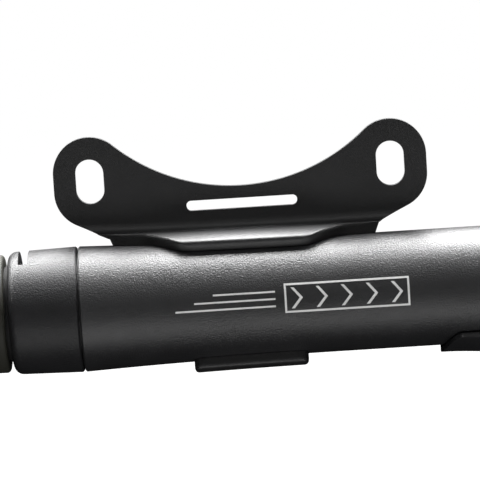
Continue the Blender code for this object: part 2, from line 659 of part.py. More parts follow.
def make_check_valve(pump_axis, rubber, steel):
    """The poppet that lets air out of the barrel only, and its spring."""
    back = POPPET_LEFT + POPPET_THICKNESS
    stem_end = back + POPPET_STEM_LENGTH
    outline = [(POPPET_LEFT, 0.0), (POPPET_LEFT, POPPET_RADIUS), (back, POPPET_RADIUS)]
    outline += [(back, POPPET_STEM_RADIUS), (stem_end, POPPET_STEM_RADIUS), (stem_end, 0.0)]
    turned("check_valve", outline, pump_axis, rubber, PIN_ROUND)
    start = back + FIT + SPRING_WIRE
    stop = THROAT_END - FIT - SPRING_WIRE
    per_turn = 12
    count = SPRING_TURNS * per_turn
    sections = []
    for step in range(count + 1):
        turn = math.tau * step / per_turn
        x = start + (stop - start) * step / count
        section = []
        for side in range(5):
            around = math.tau * side / 5
            radius = SPRING_RADIUS + SPRING_WIRE * math.cos(around)
            place = x + SPRING_WIRE * math.sin(around)
            section.append((place, radius * math.sin(turn), radius * math.cos(turn)))
        sections.append(section)
    add_object("check_spring", skinned(sections), pump_axis, steel)


def make_port(pump_axis, nut_finish, rubber, steel):
    """The ribbed nut that holds the valve gasket, the gasket and the slip ring between them."""
    valve_line = (VALVE_X, 0.0, 0.0)
    roof = PORT_FACE + FIT
    top = roof + NUT_TOP
    skirt = BOSS_TOP + FIT
    inner = NOSE_RADIUS + FIT
    outline = [(skirt, inner), (skirt, NUT_RADIUS - PIN_EDGE), (skirt + PIN_EDGE, NUT_RADIUS)]
    outline += [(top - NUT_EDGE, NUT_RADIUS), (top, NUT_RADIUS - NUT_EDGE), (top, PORT_RADIUS + PORT_EDGE)]
    outline += [(top - PORT_EDGE, PORT_RADIUS), (roof, PORT_RADIUS), (roof, inner)]
    nut = spun(outline, 2 * NUT_RIBS, "Z", valve_line)
    for vert in nut.verts:
        out = Vector((vert.co.x - VALVE_X, vert.co.y))
        rib = round(math.atan2(out.y, out.x) / (math.tau / (2 * NUT_RIBS)))
        if out.length > NUT_RADIUS - NUT_RIB_DEPTH and rib % 2:
            vert.co.x -= out.x / out.length * NUT_RIB_DEPTH
            vert.co.y -= out.y / out.length * NUT_RIB_DEPTH
    add_object("port_nut", nut, pump_axis, nut_finish)
    soft = CHAMBER_RADIUS - FIT
    bottom = PLUNGER_TOP + FIT
    gasket = [(bottom, GASKET_HOLE_RADIUS), (bottom, soft), (bottom + GASKET_LENGTH, soft)]
    gasket.append((bottom + GASKET_LENGTH, GASKET_HOLE_RADIUS))
    turned("valve_gasket", gasket, pump_axis, rubber, SMALL_ROUND, "Z", valve_line)
    under = bottom + GASKET_LENGTH + FIT
    ring = [(under, PORT_RADIUS), (under, soft), (under + SLIP_RING, soft), (under + SLIP_RING, PORT_RADIUS)]
    turned("slip_ring", ring, pump_axis, steel, SMALL_ROUND, "Z", valve_line)


def make_plunger(valve_axis, plastic, rubber):
    """What the lever's cam pushes up to squeeze the gasket. Its foot carries a sealing ring."""
    valve_line = (VALVE_X, 0.0, 0.0)
    wide = CHAMBER_RADIUS - FIT
    groove_low = PLUNGER_BASE + PLUNGER_FOOT
    groove_high = groove_low + PLUNGER_GROOVE
    groove_floor = wide - PLUNGER_GROOVE_DEPTH
    shoulder = groove_high + PLUNGER_SHOULDER
    head_low = PLUNGER_TOP - PLUNGER_HEAD
    bore_floor = shoulder + PLUNGER_BORE_FLOOR
    outline = [(PLUNGER_BASE, 0.0), (PLUNGER_BASE, wide), (groove_low, wide), (groove_low, groove_floor)]
    outline += [(groove_high, groove_floor), (groove_high, wide), (shoulder, wide)]
    outline += [(shoulder, PLUNGER_STEM_RADIUS), (head_low, PLUNGER_STEM_RADIUS), (head_low, wide)]
    outline += [(PLUNGER_TOP, wide), (PLUNGER_TOP, PLUNGER_BORE_RADIUS)]
    outline += [(bore_floor, PLUNGER_BORE_RADIUS), (bore_floor, 0.0)]
    plunger = turned("gasket_plunger", outline, valve_axis, plastic, SMALL_ROUND, "Z", valve_line, valve_line)
    reach = PLUNGER_STEM_RADIUS + OVERSHOOT
    radius = PLUNGER_SIDE_HOLE_RADIUS
    hole = [(-reach, 0.0), (-reach, radius), (reach, radius), (reach, 0.0)]
    side_hole = spun(hole, 12, "X", (VALVE_X, 0.0, bore_floor + radius + CHAMFER))
    combine(plunger, "DIFFERENCE", side_hole, valve_axis, "side_hole", valve_line)
    section = (PLUNGER_GROOVE - 2 * SLIDE_FIT) / 2
    ring = arc(((groove_low + groove_high) / 2, wide + SLIDE_FIT - section), section, 0, 300, 5)
    turned("plunger_o_ring", ring, valve_axis, rubber, SMALL_ROUND, "Z", valve_line, valve_line)


def cam_outline():
    """The lever's hub from the side, about its pivot.

    A flat follower rides on the part of the outline that faces it. Its height is the outline's
    reach in that direction, which grows by the same amount for each degree that the lever turns.
    """
    points = []
    steps = 8
    open_direction = 90 - LEVER_OPEN_ANGLE
    for step in range(steps + 1):
        direction = math.radians(open_direction + LEVER_OPEN_ANGLE * step / steps)
        reach = CAM_BASE + CAM_RATE * (math.radians(90) - direction)
        x = reach * math.cos(direction) + CAM_RATE * math.sin(direction)
        z = reach * math.sin(direction) - CAM_RATE * math.cos(direction)
        points.append((x, z))
    points += arc((0.0, 0.0), CAM_BASE, 96, 190, 8)
    web_left = -LEVER_END - WEB_LENGTH
    arm_inner = -(HEAD_RADIUS + RUN_GAP + PIVOT_HEIGHT)
    points += [(web_left, arm_inner - WEB_SINK), (web_left, arm_inner - WEB_SINK - WEB_HEIGHT)]
    points.append((-LEVER_END, PIN_INSET - HUB_BOTTOM))
    lobe = CAM_BASE + CAM_LIFT - FIT
    for step in range(7):
        share = step / 6
        direction = math.radians(-90 + 68 * share)
        reach = HUB_BOTTOM + (lobe - HUB_BOTTOM) * share
        points.append((reach * math.cos(direction), reach * math.sin(direction)))
    return points


def lever_section(side_share):
    """The arm along the barrel, as (x, radius) points. Towards the sides the tip draws back."""
    pivot_x = VALVE_X
    tip = pivot_x - LEVER_REACH + LEVER_TIP_ROUND * (1 - math.sqrt(1 - side_share**2))
    barrel_clear = BARREL_RADIUS + RUN_GAP
    head_clear = HEAD_RADIUS + RUN_GAP
    step_left = HEAD_LEFT - 2 * RUN_GAP - (head_clear - barrel_clear)
    step_right = HEAD_LEFT - RUN_GAP
    end = pivot_x - LEVER_END
    thin = LEVER_THICKNESS * (1 - 0.25 * side_share**4)
    inner = [(end, head_clear), (step_right, head_clear), (step_left, barrel_clear), (tip, barrel_clear)]
    tip_outer = barrel_clear + LEVER_TIP_THICKNESS
    middle = (step_left + tip) / 2
    outer = [(tip + LEVER_EDGE, tip_outer), (middle, tip_outer + LEVER_SWELL)]
    outer += [(step_left - RUN_GAP, barrel_clear + thin), (step_right + LEVER_RAMP, head_clear + thin)]
    outer += [(end - LEVER_EDGE, head_clear + thin), (end, head_clear + thin - LEVER_EDGE)]
    return inner + outer


def make_lever(lever_axis, material):
    offset = (VALVE_X, 0.0, PIVOT_HEIGHT)
    sides = 12
    rows = []
    for step in range(sides + 1):
        share = -1 + 2 * step / sides
        rows.append((180 + LEVER_HALF_ANGLE * share, lever_section(abs(share) * 0.985)))
    lever = add_object("thumb_lever", wrapped(rows), lever_axis, material, offset)
    half = HUB_WIDTH / 2
    hub = [(VALVE_X + x, PIVOT_HEIGHT + z) for x, z in cam_outline()]
    combine(lever, "UNION", prism(hub, -half, half), lever_axis, "hub", offset)
    radius = PIVOT_PIN_RADIUS + SLIDE_FIT
    reach = half + OVERSHOOT
    hole = [(-reach, 0.0), (-reach, radius), (reach, radius), (reach, 0.0)]
    combine(lever, "DIFFERENCE", spun(hole, PIN_ROUND, "Y", offset), lever_axis, "pin_hole", offset)


def make_lever_pin(pump_axis, steel):
    half = math.sqrt(HEAD_RADIUS**2 - PIVOT_HEIGHT**2) - PIN_INSET
    radius = PIVOT_PIN_RADIUS
    outline = [(-half, 0.0), (-half, radius - PIN_EDGE), (-half + PIN_EDGE, radius)]
    outline += [(half - PIN_EDGE, radius), (half, radius - PIN_EDGE), (half, 0.0)]
    turned("lever_pin", outline, pump_axis, steel, PIN_ROUND, "Y", (VALVE_X, 0.0, PIVOT_HEIGHT))


def make_rod(pump_axis, aluminium):
    left_floor = ROD_LEFT + SCREW_DEPTH
    right_floor = ROD_RIGHT - SCREW_DEPTH
    outline = [(left_floor, 0.0), (left_floor, SCREW_HOLE_RADIUS), (ROD_LEFT, SCREW_HOLE_RADIUS)]
    outline += [(ROD_LEFT, ROD_STEP_RADIUS), (ROD_SHOULDER, ROD_STEP_RADIUS), (ROD_SHOULDER, ROD_RADIUS)]
    outline += [(ROD_RIGHT, ROD_RADIUS), (ROD_RIGHT, SCREW_HOLE_RADIUS)]
    outline += [(right_floor, SCREW_HOLE_RADIUS), (right_floor, 0.0)]
    turned("piston_rod", outline, pump_axis, aluminium, SMALL_ROUND)


def screw_outline(under_head, tip):
    """A screw with a round head and a blind driver hole, pointing from under its head to its tip."""
    way = 1 if tip > under_head else -1
    head_top = under_head - way * SCREW_HEAD_HEIGHT
    hole_floor = head_top + way * DRIVER_HOLE_DEPTH
    outline = [(hole_floor, 0.0), (hole_floor, DRIVER_HOLE_RADIUS), (head_top, DRIVER_HOLE_RADIUS)]
    outline += [(head_top, SCREW_HEAD_RADIUS - CHAMFER), (head_top + way * CHAMFER, SCREW_HEAD_RADIUS)]
    outline += [(under_head, SCREW_HEAD_RADIUS), (under_head, SCREW_RADIUS), (tip, SCREW_RADIUS)]
    outline.append((tip, 0.0))
    return outline


def make_piston(pump_axis, plastic, rubber, steel):
    body_radius = BORE_RADIUS - RUN_GAP
    socket = ROD_RADIUS + FIT
    outline = [(PISTON_BACK, socket), (PISTON_BACK, PISTON_BOSS_RADIUS)]
    outline += [(PISTON_LEFT - PISTON_EDGE, PISTON_BOSS_RADIUS), (PISTON_LEFT, body_radius - PISTON_EDGE)]
    outline += [(PISTON_LEFT + PISTON_EDGE, body_radius), (PISTON_RIGHT - CHAMFER, body_radius)]
    outline.append((PISTON_RIGHT, body_radius - CHAMFER))
    outline += [(PISTON_RIGHT, SCREW_HOLE_RADIUS), (PISTON_LEFT, SCREW_HOLE_RADIUS), (PISTON_LEFT, socket)]
    turned("piston_body", outline, pump_axis, plastic, MIDDLE_ROUND)
    lip = BORE_RADIUS - SLIDE_FIT
    base_right = CUP_LEFT + CUP_BASE
    waist = lip - CUP_LEAN
    heel = waist - CUP_HEEL
    cup = [(CUP_LEFT, SCREW_HOLE_RADIUS), (CUP_LEFT, heel), (CUP_LEFT + CUP_HEEL, waist)]
    cup += [(CUP_RIGHT, lip), (CUP_RIGHT, lip - CUP_WALL), (base_right + CUP_HEEL, waist - CUP_WALL)]
    cup += [(base_right, heel - CUP_WALL), (base_right, SCREW_HOLE_RADIUS)]
    turned("piston_cup", cup, pump_axis, rubber, MIDDLE_ROUND)
    washer_left = base_right + FIT
    washer_right = washer_left + PISTON_WASHER
    washer = [(washer_left, SCREW_HOLE_RADIUS), (washer_left, PISTON_BOSS_RADIUS)]
    washer += [(washer_right, PISTON_BOSS_RADIUS), (washer_right, SCREW_HOLE_RADIUS)]
    turned("piston_washer", washer, pump_axis, steel, SMALL_ROUND)
    tip = ROD_RIGHT - SCREW_DEPTH + 2 * FIT
    turned("piston_screw", screw_outline(washer_right + FIT, tip), pump_axis, steel, PIN_ROUND)


def make_handle_core(pump_axis, plastic):
    """The tube inside the grip. Its spigot enters the collar, and a step inside it pushes the rod."""
    step_left = WELL_FLOOR
    step_right = ROD_SHOULDER - FIT
    rod_hole = ROD_RADIUS + FIT
    neck_hole = ROD_STEP_RADIUS + FIT
    outline = [(SPIGOT_RIGHT, rod_hole), (SPIGOT_RIGHT, SPIGOT_RADIUS - CHAMFER)]
    outline += [(SPIGOT_RIGHT - CHAMFER, SPIGOT_RADIUS), (GRIP_FRONT + FIT, SPIGOT_RADIUS)]
    outline += [(GRIP_FRONT + FIT, CORE_RADIUS), (CORE_BACK, CORE_RADIUS), (CORE_BACK, SCREW_WELL_RADIUS)]
    outline += [(step_left, SCREW_WELL_RADIUS), (step_left, neck_hole), (step_right, neck_hole)]
    outline += [(step_right, rod_hole)]
    core = turned("handle_core", outline, pump_axis, plastic, MIDDLE_ROUND)
    turn = math.radians(ENTRY_ANGLE)
    out = Vector((0.0, math.sin(turn), math.cos(turn)))
    radius = LUG_RADIUS + SLIDE_FIT
    centre = Vector((LOCK_SLOT_MIDDLE, 0.0, 0.0))
    low = SPIGOT_RADIUS - LUG_DEPTH / 2 - FIT
    hole = peg(centre, out, low, SPIGOT_RADIUS + OVERSHOOT, radius)
    combine(core, "DIFFERENCE", hole, pump_axis, "lug_hole")


def peg(centre, out, low, high, radius):
    """A small round bar along one radius of the barrel."""
    side = out.cross(Vector((1, 0, 0)))
    sections = []
    for height in (low, high):
        ring = []
        for step in range(16):
            turn = math.tau * step / 16
            around = Vector((math.cos(turn), 0, 0)) + side * math.sin(turn)
            ring.append(centre + out * height + around * radius)
        sections.append(ring)
    return skinned(sections)


def make_lug(pump_axis, steel):
    turn = math.radians(ENTRY_ANGLE)
    out = Vector((0.0, math.sin(turn), math.cos(turn)))
    low = SPIGOT_RADIUS - LUG_DEPTH / 2
    high = low + LUG_DEPTH
    centre = Vector((LOCK_SLOT_MIDDLE, 0.0, 0.0))
    add_object("lock_lug", peg(centre, out, low, high, LUG_RADIUS), pump_axis, steel)


def grip_radius_at(x):
    """A cosine waist between the two ends of the grip, and a small flare at the far end."""
    share = (GRIP_FRONT - x) / GRIP_LENGTH
    waist = GRIP_WAIST * (1 - math.cos(math.tau * share)) / 2
    return GRIP_RADIUS - waist + GRIP_END_FLARE * smooth_step(min(max(share * 2 - 1, 0.0), 1.0))


def make_grip(pump_axis, rubber):
    front_edge = arc((GRIP_FRONT - GRIP_EDGE, GRIP_RADIUS - GRIP_EDGE), GRIP_EDGE, 0, 90, 4)
    outline = [(GRIP_FRONT, GRIP_INNER_RADIUS), *front_edge]
    middle = (GRIP_FRONT + GRIP_BACK) / 2
    first = middle + GRIP_GROOVE_PITCH * (GRIP_GROOVES - 1) / 2
    outline.append((first + 2 * GRIP_GROOVE_PITCH, grip_radius_at(first + 2 * GRIP_GROOVE_PITCH)))
    for groove in range(GRIP_GROOVES):
        x = first - groove * GRIP_GROOVE_PITCH
        radius = grip_radius_at(x)
        half = GRIP_GROOVE_PITCH * 0.25
        outline += [(x + half, radius), (x, radius - GRIP_GROOVE_DEPTH), (x - half, radius)]
    last = first - (GRIP_GROOVES + 1) * GRIP_GROOVE_PITCH
    outline += [(last, grip_radius_at(last)), (GRIP_BACK + GRIP_EDGE, grip_radius_at(GRIP_BACK))]
    outline += [(GRIP_BACK, grip_radius_at(GRIP_BACK) - GRIP_EDGE), (GRIP_BACK, GRIP_INNER_RADIUS)]
    turned("grip_sleeve", outline, pump_axis, rubber, GRIP_ROUND)


def make_handle_end(pump_axis, plastic, steel):
    """The end cap, and behind it the screw and washer that hold the handle on the rod."""
    washer_right = ROD_LEFT - FIT
    washer_left = washer_right - HANDLE_WASHER
    washer = [(washer_left, SCREW_HOLE_RADIUS), (washer_left, HANDLE_WASHER_RADIUS)]
    washer += [(washer_right, HANDLE_WASHER_RADIUS), (washer_right, SCREW_HOLE_RADIUS)]
    turned("handle_washer", washer, pump_axis, steel, SMALL_ROUND)
    tip = ROD_LEFT + SCREW_DEPTH - 2 * FIT
    turned("handle_screw", screw_outline(washer_left - FIT, tip), pump_axis, steel, PIN_ROUND)
    flange_right = GRIP_BACK - FIT
    flange_radius = grip_radius_at(GRIP_BACK) - CAP_INSET
    plug_right = CORE_BACK + PLUG_LENGTH
    plug_radius = SCREW_WELL_RADIUS - FIT
    cap_left = flange_right - CAP_LENGTH
    outline = [(plug_right, 0.0), (plug_right, plug_radius), (flange_right, plug_radius)]
    outline.append((flange_right, flange_radius))
    rim_left = flange_right - (CAP_LENGTH - CAP_DOME)
    steps = 6
    for step in range(steps + 1):
        turn = math.radians(90 * step / steps)
        x = rim_left - (rim_left - cap_left) * math.sin(turn)
        outline.append((x, flange_radius * math.cos(turn) ** 0.6 if step < steps else 0.0))
    turned("handle_end_cap", outline, pump_axis, plastic, MIDDLE_ROUND)


def build():
    clear_scene()
    black = finish("black_moulding", (0.025, 0.025, 0.026), 0.48)
    satin = finish("bracket_moulding", (0.030, 0.030, 0.031), 0.38)
    lever_black = finish("lever_moulding", (0.022, 0.022, 0.023), 0.42)
    olive = finish("grip_rubber", (0.075, 0.072, 0.060), 0.60)
    rubber = finish("black_rubber", (0.018, 0.018, 0.018), 0.75)
    natural = finish("inner_plastic", (0.55, 0.54, 0.50), 0.45)
    aluminium = finish("rod_aluminium", (0.80, 0.80, 0.81), 0.30, 1.0)
    steel = finish("steel", (0.62, 0.62, 0.63), 0.30, 1.0)
    brass = finish("seat_brass", (0.70, 0.52, 0.25), 0.35, 1.0)

    # The barrel's axis carries the turning in the clip, the stroke and the handle's twist.
    pump_axis = empty("pump_axis", (0.0, -PLATE_BACK, -MOUNT_HEIGHT))
    lever_axis = empty("lever_axis", (VALVE_X, 0.0, PIVOT_HEIGHT), pump_axis)
    valve_axis = empty("valve_axis", (VALVE_X, 0.0, 0.0), pump_axis)

    make_bracket(pump_axis, satin)
    make_barrel(pump_axis, black)
    make_collar(pump_axis, black)
    make_rod_guide(pump_axis, natural, rubber)
    make_barrel_seal(pump_axis, rubber)
    make_head(pump_axis, black)
    make_valve_seat(pump_axis, brass)
    make_check_valve(pump_axis, rubber, steel)
    make_port(pump_axis, black, rubber, steel)
    make_plunger(valve_axis, natural, rubber)
    make_lever(lever_axis, lever_black)
    make_lever_pin(pump_axis, steel)
    make_rod(pump_axis, aluminium)
    make_piston(pump_axis, natural, rubber, steel)
    make_handle_core(pump_axis, black)
    make_lug(pump_axis, steel)
    make_grip(pump_axis, olive)
    make_handle_end(pump_axis, black, steel)


build()
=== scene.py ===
# %% [markdown]
# # A mini pump in its frame bracket
#
# A bicycle mini pump is a short barrel with a handle at one end and a valve head at the other.
# This lesson dresses the pump's working model: the sizes and the moving bodies come from it, and
# each piece that shows is modelled again with a finer surface, in its own place, by hand tools.

# %% Load the working model
import json
import math

import bpy
from mathutils import Matrix, Vector


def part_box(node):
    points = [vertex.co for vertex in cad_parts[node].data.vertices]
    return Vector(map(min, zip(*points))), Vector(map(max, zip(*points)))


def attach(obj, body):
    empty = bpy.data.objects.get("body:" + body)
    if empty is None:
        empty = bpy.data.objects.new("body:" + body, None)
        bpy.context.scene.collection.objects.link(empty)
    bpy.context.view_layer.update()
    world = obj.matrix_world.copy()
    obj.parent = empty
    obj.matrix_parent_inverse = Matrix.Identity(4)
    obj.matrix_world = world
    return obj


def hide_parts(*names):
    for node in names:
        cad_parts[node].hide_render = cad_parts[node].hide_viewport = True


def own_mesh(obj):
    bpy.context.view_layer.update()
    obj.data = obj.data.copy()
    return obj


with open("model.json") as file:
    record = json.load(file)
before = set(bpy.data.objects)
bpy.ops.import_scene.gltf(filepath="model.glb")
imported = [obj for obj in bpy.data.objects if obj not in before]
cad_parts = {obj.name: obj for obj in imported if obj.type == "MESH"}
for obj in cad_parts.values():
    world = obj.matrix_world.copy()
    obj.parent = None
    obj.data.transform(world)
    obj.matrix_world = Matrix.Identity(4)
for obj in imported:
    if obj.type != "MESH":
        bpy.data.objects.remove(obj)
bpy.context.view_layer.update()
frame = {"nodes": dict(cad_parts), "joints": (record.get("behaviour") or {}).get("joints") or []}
joints = {joint["name"]: joint for joint in frame["joints"]}

# %% [markdown]
# ## Places to build from
#
# Nearly everything is turned about one line, the barrel's axis. The joint that lets the pump turn
# in its clip lies on that line, so its place is read from there, and the lever's pivot from the
# lever's joint. The other sizes are the boxes of the model's own pieces.

# %% Axes and stations
AXIS = Vector(joints["pump_turn"]["pos_m"])
PIVOT = Vector(joints["lever_swing"]["pos_m"])
VALVE = Vector((PIVOT.x, AXIS.y, AXIS.z))
ALONG = (1.0, 0.0, 0.0)
ACROSS = (0.0, 1.0, 0.0)
UP = (0.0, 0.0, 1.0)


def reach(node):
    """A round piece's two ends along the barrel and its outer radius."""
    low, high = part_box(node)
    return low.x, high.x, (high.y - low.y) / 2


NECK_LEFT, NECK_RIGHT, WIDE_RADIUS = reach("barrel")
COLLAR_LEFT, COLLAR_RIGHT, COLLAR_RADIUS = reach("collar")
HEAD_LEFT, HEAD_RIGHT, HEAD_RADIUS = reach("head_body")
GRIP_BACK, GRIP_FRONT, _ = reach("grip_sleeve")
CAP_BACK, CAP_PLUG, CAP_RADIUS = reach("handle_end_cap")
CORE_BACK, CORE_FRONT, _ = reach("handle_core")
ROD_LEFT, ROD_RIGHT, ROD_RADIUS = reach("piston_rod")
GAP = 0.0003
BARREL_LEFT = COLLAR_RIGHT + GAP
BARREL_RIGHT = HEAD_LEFT - GAP
FLARE, FLARE_LENGTH = 0.00097, 0.050
BARREL_RADIUS = WIDE_RADIUS - FLARE
BORE_RADIUS = BARREL_RADIUS - 0.00198
NECK_RADIUS = BARREL_RADIUS - 0.00058
print(f"barrel {1000 * (BARREL_RIGHT - BARREL_LEFT):.1f} mm long, {2000 * BARREL_RADIUS:.1f} mm across")


def flared(x):
    """The barrel's radius, which widens gently towards the handle."""
    share = min(max((x - BARREL_LEFT) / FLARE_LENGTH, 0.0), 1.0)
    return BARREL_RADIUS + FLARE * (1 - share) ** 2


# %% [markdown]
# ## A turner's helpers
#
# A turned piece is half of its own section, spun round its axis. The section is drawn one point at
# a time, as a vertex that is extruded from place to place, which gives exact sizes. A cylinder with
# loop cuts would do as well, but a profile with many steps is quicker to read as a list of points.

# %% Draw, spin and fill
def put_down():
    """Leave edit mode with nothing selected."""
    if bpy.context.object and bpy.context.object.mode != "OBJECT":
        bpy.ops.object.mode_set(mode="OBJECT")
    bpy.ops.object.select_all(action="DESELECT")


def open_mesh(piece):
    """Open a piece in edit mode with all of it selected."""
    put_down()
    bpy.context.view_layer.objects.active = piece
    bpy.ops.object.mode_set(mode="EDIT")
    bpy.ops.mesh.select_all(action="SELECT")


def close_mesh():
    """Turn the whole surface outward and leave edit mode."""
    bpy.ops.mesh.select_all(action="SELECT")
    bpy.ops.mesh.normals_make_consistent(inside=False)
    put_down()


def first_point(name, place):
    """A new object of one vertex, in edit mode, with its origin at the world's."""
    put_down()
    bpy.ops.mesh.primitive_plane_add(size=0.001, location=(0, 0, 0))
    piece = bpy.context.object
    piece.name = name
    bpy.ops.object.mode_set(mode="EDIT")
    bpy.ops.mesh.select_mode(type="VERT")
    bpy.ops.mesh.select_all(action="SELECT")
    bpy.ops.mesh.merge(type="CENTER")
    bpy.ops.transform.translate(value=place)
    return piece


def draw_loop(name, points, closed=True):
    """A loop of edges through the points, or an open chain of them."""
    piece = first_point(name, points[0])
    for here, there in zip(points, points[1:]):
        step = tuple(b - a for a, b in zip(here, there))
        bpy.ops.mesh.extrude_region_move(TRANSFORM_OT_translate={"value": step})
    if closed:
        bpy.ops.object.mode_set(mode="OBJECT")
        ends = (0, len(piece.data.vertices) - 1)
        for vertex in piece.data.vertices:
            vertex.select = vertex.index in ends
        bpy.ops.object.mode_set(mode="EDIT")
        bpy.ops.mesh.edge_face_add()
    bpy.ops.mesh.select_all(action="SELECT")
    return piece


def spun(name, section, steps=96, axis=ALONG, centre=AXIS, turn=math.tau, out=UP, fill=False):
    """Spin a section of (place along the axis, distance from it) points. A part turn needs filling."""
    base, line, side = Vector(centre), Vector(axis), Vector(out)
    path = [base + line * (place - base.dot(line)) + side * far for place, far in section]
    piece = draw_loop(name, path, closed=section[0][1] > 0 or section[-1][1] > 0)
    if fill:
        bpy.ops.mesh.edge_face_add()
    bpy.ops.mesh.spin(steps=steps, angle=turn, center=base, axis=axis)
    bpy.ops.mesh.select_all(action="SELECT")
    bpy.ops.mesh.remove_doubles(threshold=1e-6)
    bpy.ops.mesh.delete_loose()
    close_mesh()
    return piece


def block(name, outline, start, push):
    """Fill a loop of points and push it out into a solid."""
    piece = draw_loop(name, [Vector(start) + Vector(point) for point in outline])
    bpy.ops.mesh.edge_face_add()
    bpy.ops.mesh.extrude_region_move(TRANSFORM_OT_translate={"value": push})
    close_mesh()
    return piece


def curve_points(middle, radius, start, stop, steps):
    """Points along an arc, in degrees, both ends included."""
    turns = [math.radians(start + (stop - start) * step / steps) for step in range(steps + 1)]
    return [(middle[0] + radius * math.cos(turn), middle[1] + radius * math.sin(turn)) for turn in turns]


# %% [markdown]
# Two more tools join, cut and round what was drawn. A Boolean modifier does the cutting, as a saw
# or a drill would, and a Bevel modifier breaks the sharp edges afterwards: every moulded edge has a
# small radius, and the light that it catches is what makes a black piece readable.

# %% Cut, join and round
def apply_modifier(piece, modifier):
    put_down()
    bpy.context.view_layer.objects.active = piece
    piece.select_set(True)
    bpy.ops.object.modifier_apply(modifier=modifier.name)
    put_down()


def combine(piece, operation, other):
    """Join, cut or intersect with another solid, which is used up."""
    modifier = piece.modifiers.new("combine", "BOOLEAN")
    modifier.operation = operation
    modifier.solver = "EXACT"
    modifier.object = other
    apply_modifier(piece, modifier)
    bpy.data.objects.remove(other)
    weld = piece.modifiers.new("weld", "WELD")
    weld.merge_threshold = 2e-6
    apply_modifier(piece, weld)


def thicken(sheet, thickness):
    """Give a sheet a thickness, all of it on the outer side."""
    skin = sheet.modifiers.new("skin", "SOLIDIFY")
    skin.thickness = thickness
    skin.offset = 1.0
    apply_modifier(sheet, skin)


def round_edges(piece, width, segments=2, angle=38):
    """A small radius on every edge sharper than the angle."""
    bevel = piece.modifiers.new("round", "BEVEL")
    bevel.width = width
    bevel.segments = segments
    bevel.limit_method = "ANGLE"
    bevel.angle_limit = math.radians(angle)
    bevel.use_clamp_overlap = True
    bevel.miter_outer = "MITER_ARC"
    apply_modifier(piece, bevel)


def hand_over(piece, material, body, slot, *nodes, sharp=32, flats=False):
    """Shade a finished piece, give it its finish, and hang it on its moving body."""
    put_down()
    bpy.context.view_layer.objects.active = piece
    piece.select_set(True)
    bpy.ops.object.shade_smooth_by_angle(angle=math.radians(sharp))
    if flats:
        weighted = piece.modifiers.new("flats", "WEIGHTED_NORMAL")
        weighted.keep_sharp = True
        weighted.weight = 80
        apply_modifier(piece, weighted)
    put_down()
    piece.data.materials.clear()
    piece.data.materials.append(material)
    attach(piece, body)
    if nodes:
        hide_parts(*nodes)
    print(f"{piece.name}: {len(piece.data.polygons)} faces on {body}")


# %% [markdown]
# ## Finishes
#
# All the black pieces are moulded plastic, but they don't look alike. The barrel, collar and head
# carry a fine spark-eroded grain that scatters the light, the bracket is smoother and shows a soft
# sheen, and the grip is soft-touch rubber. One recipe makes them all: a noise for the grain's bump,
# and a second and slower noise for both the roughness and the faint change of colour that handling
# leaves. Each reads Object coordinates, in metres, so the grain keeps its real size on every piece.

# %% One recipe for moulded and rubber finishes
def blended(colour, share):
    return tuple(min(1.0, part * share) for part in colour) + (1.0,)


def finish(name, colour, rough, grain=0.00035, depth=0.00001, patch=0.012, spread=0.18,
           metal=0.0, shine=0.5, stretch=(1.0, 1.0, 1.0)):
    """A procedural finish: grain in metres, depth of its bump in metres, and the size of its patches."""
    material = bpy.data.materials.new(name)
    material.use_nodes = True
    nodes = material.node_tree.nodes
    links = material.node_tree.links
    shader = nodes["Principled BSDF"]
    shader.inputs["Metallic"].default_value = metal
    shader.inputs["Specular IOR Level"].default_value = shine
    place = nodes.new("ShaderNodeTexCoord")
    mapping = nodes.new("ShaderNodeMapping")
    mapping.inputs["Scale"].default_value = stretch
    links.new(place.outputs["Object"], mapping.inputs["Vector"])

    def noise(size, detail):
        texture = nodes.new("ShaderNodeTexNoise")
        texture.inputs["Scale"].default_value = 1.0 / size
        texture.inputs["Detail"].default_value = detail
        links.new(mapping.outputs["Vector"], texture.inputs["Vector"])
        return texture

    def ramp(source, low, high):
        colours = nodes.new("ShaderNodeValToRGB")
        colours.color_ramp.elements[0].position = 0.3
        colours.color_ramp.elements[1].position = 0.7
        colours.color_ramp.elements[0].color = low
        colours.color_ramp.elements[1].color = high
        links.new(source.outputs["Fac"], colours.inputs["Fac"])
        return colours

    fine = noise(grain, 2.0)
    slow = noise(patch, 3.0)
    tint = ramp(slow, blended(colour, 1 - spread), blended(colour, 1 + spread))
    links.new(tint.outputs["Color"], shader.inputs["Base Color"])
    worn = nodes.new("ShaderNodeMapRange")
    worn.inputs["To Min"].default_value = rough - 0.05
    worn.inputs["To Max"].default_value = rough + 0.05
    links.new(slow.outputs["Fac"], worn.inputs["Value"])
    links.new(worn.outputs["Result"], shader.inputs["Roughness"])
    bump = nodes.new("ShaderNodeBump")
    bump.inputs["Strength"].default_value = 1.0
    bump.inputs["Distance"].default_value = depth
    links.new(fine.outputs["Fac"], bump.inputs["Height"])
    links.new(bump.outputs["Normal"], shader.inputs["Normal"])
    return material


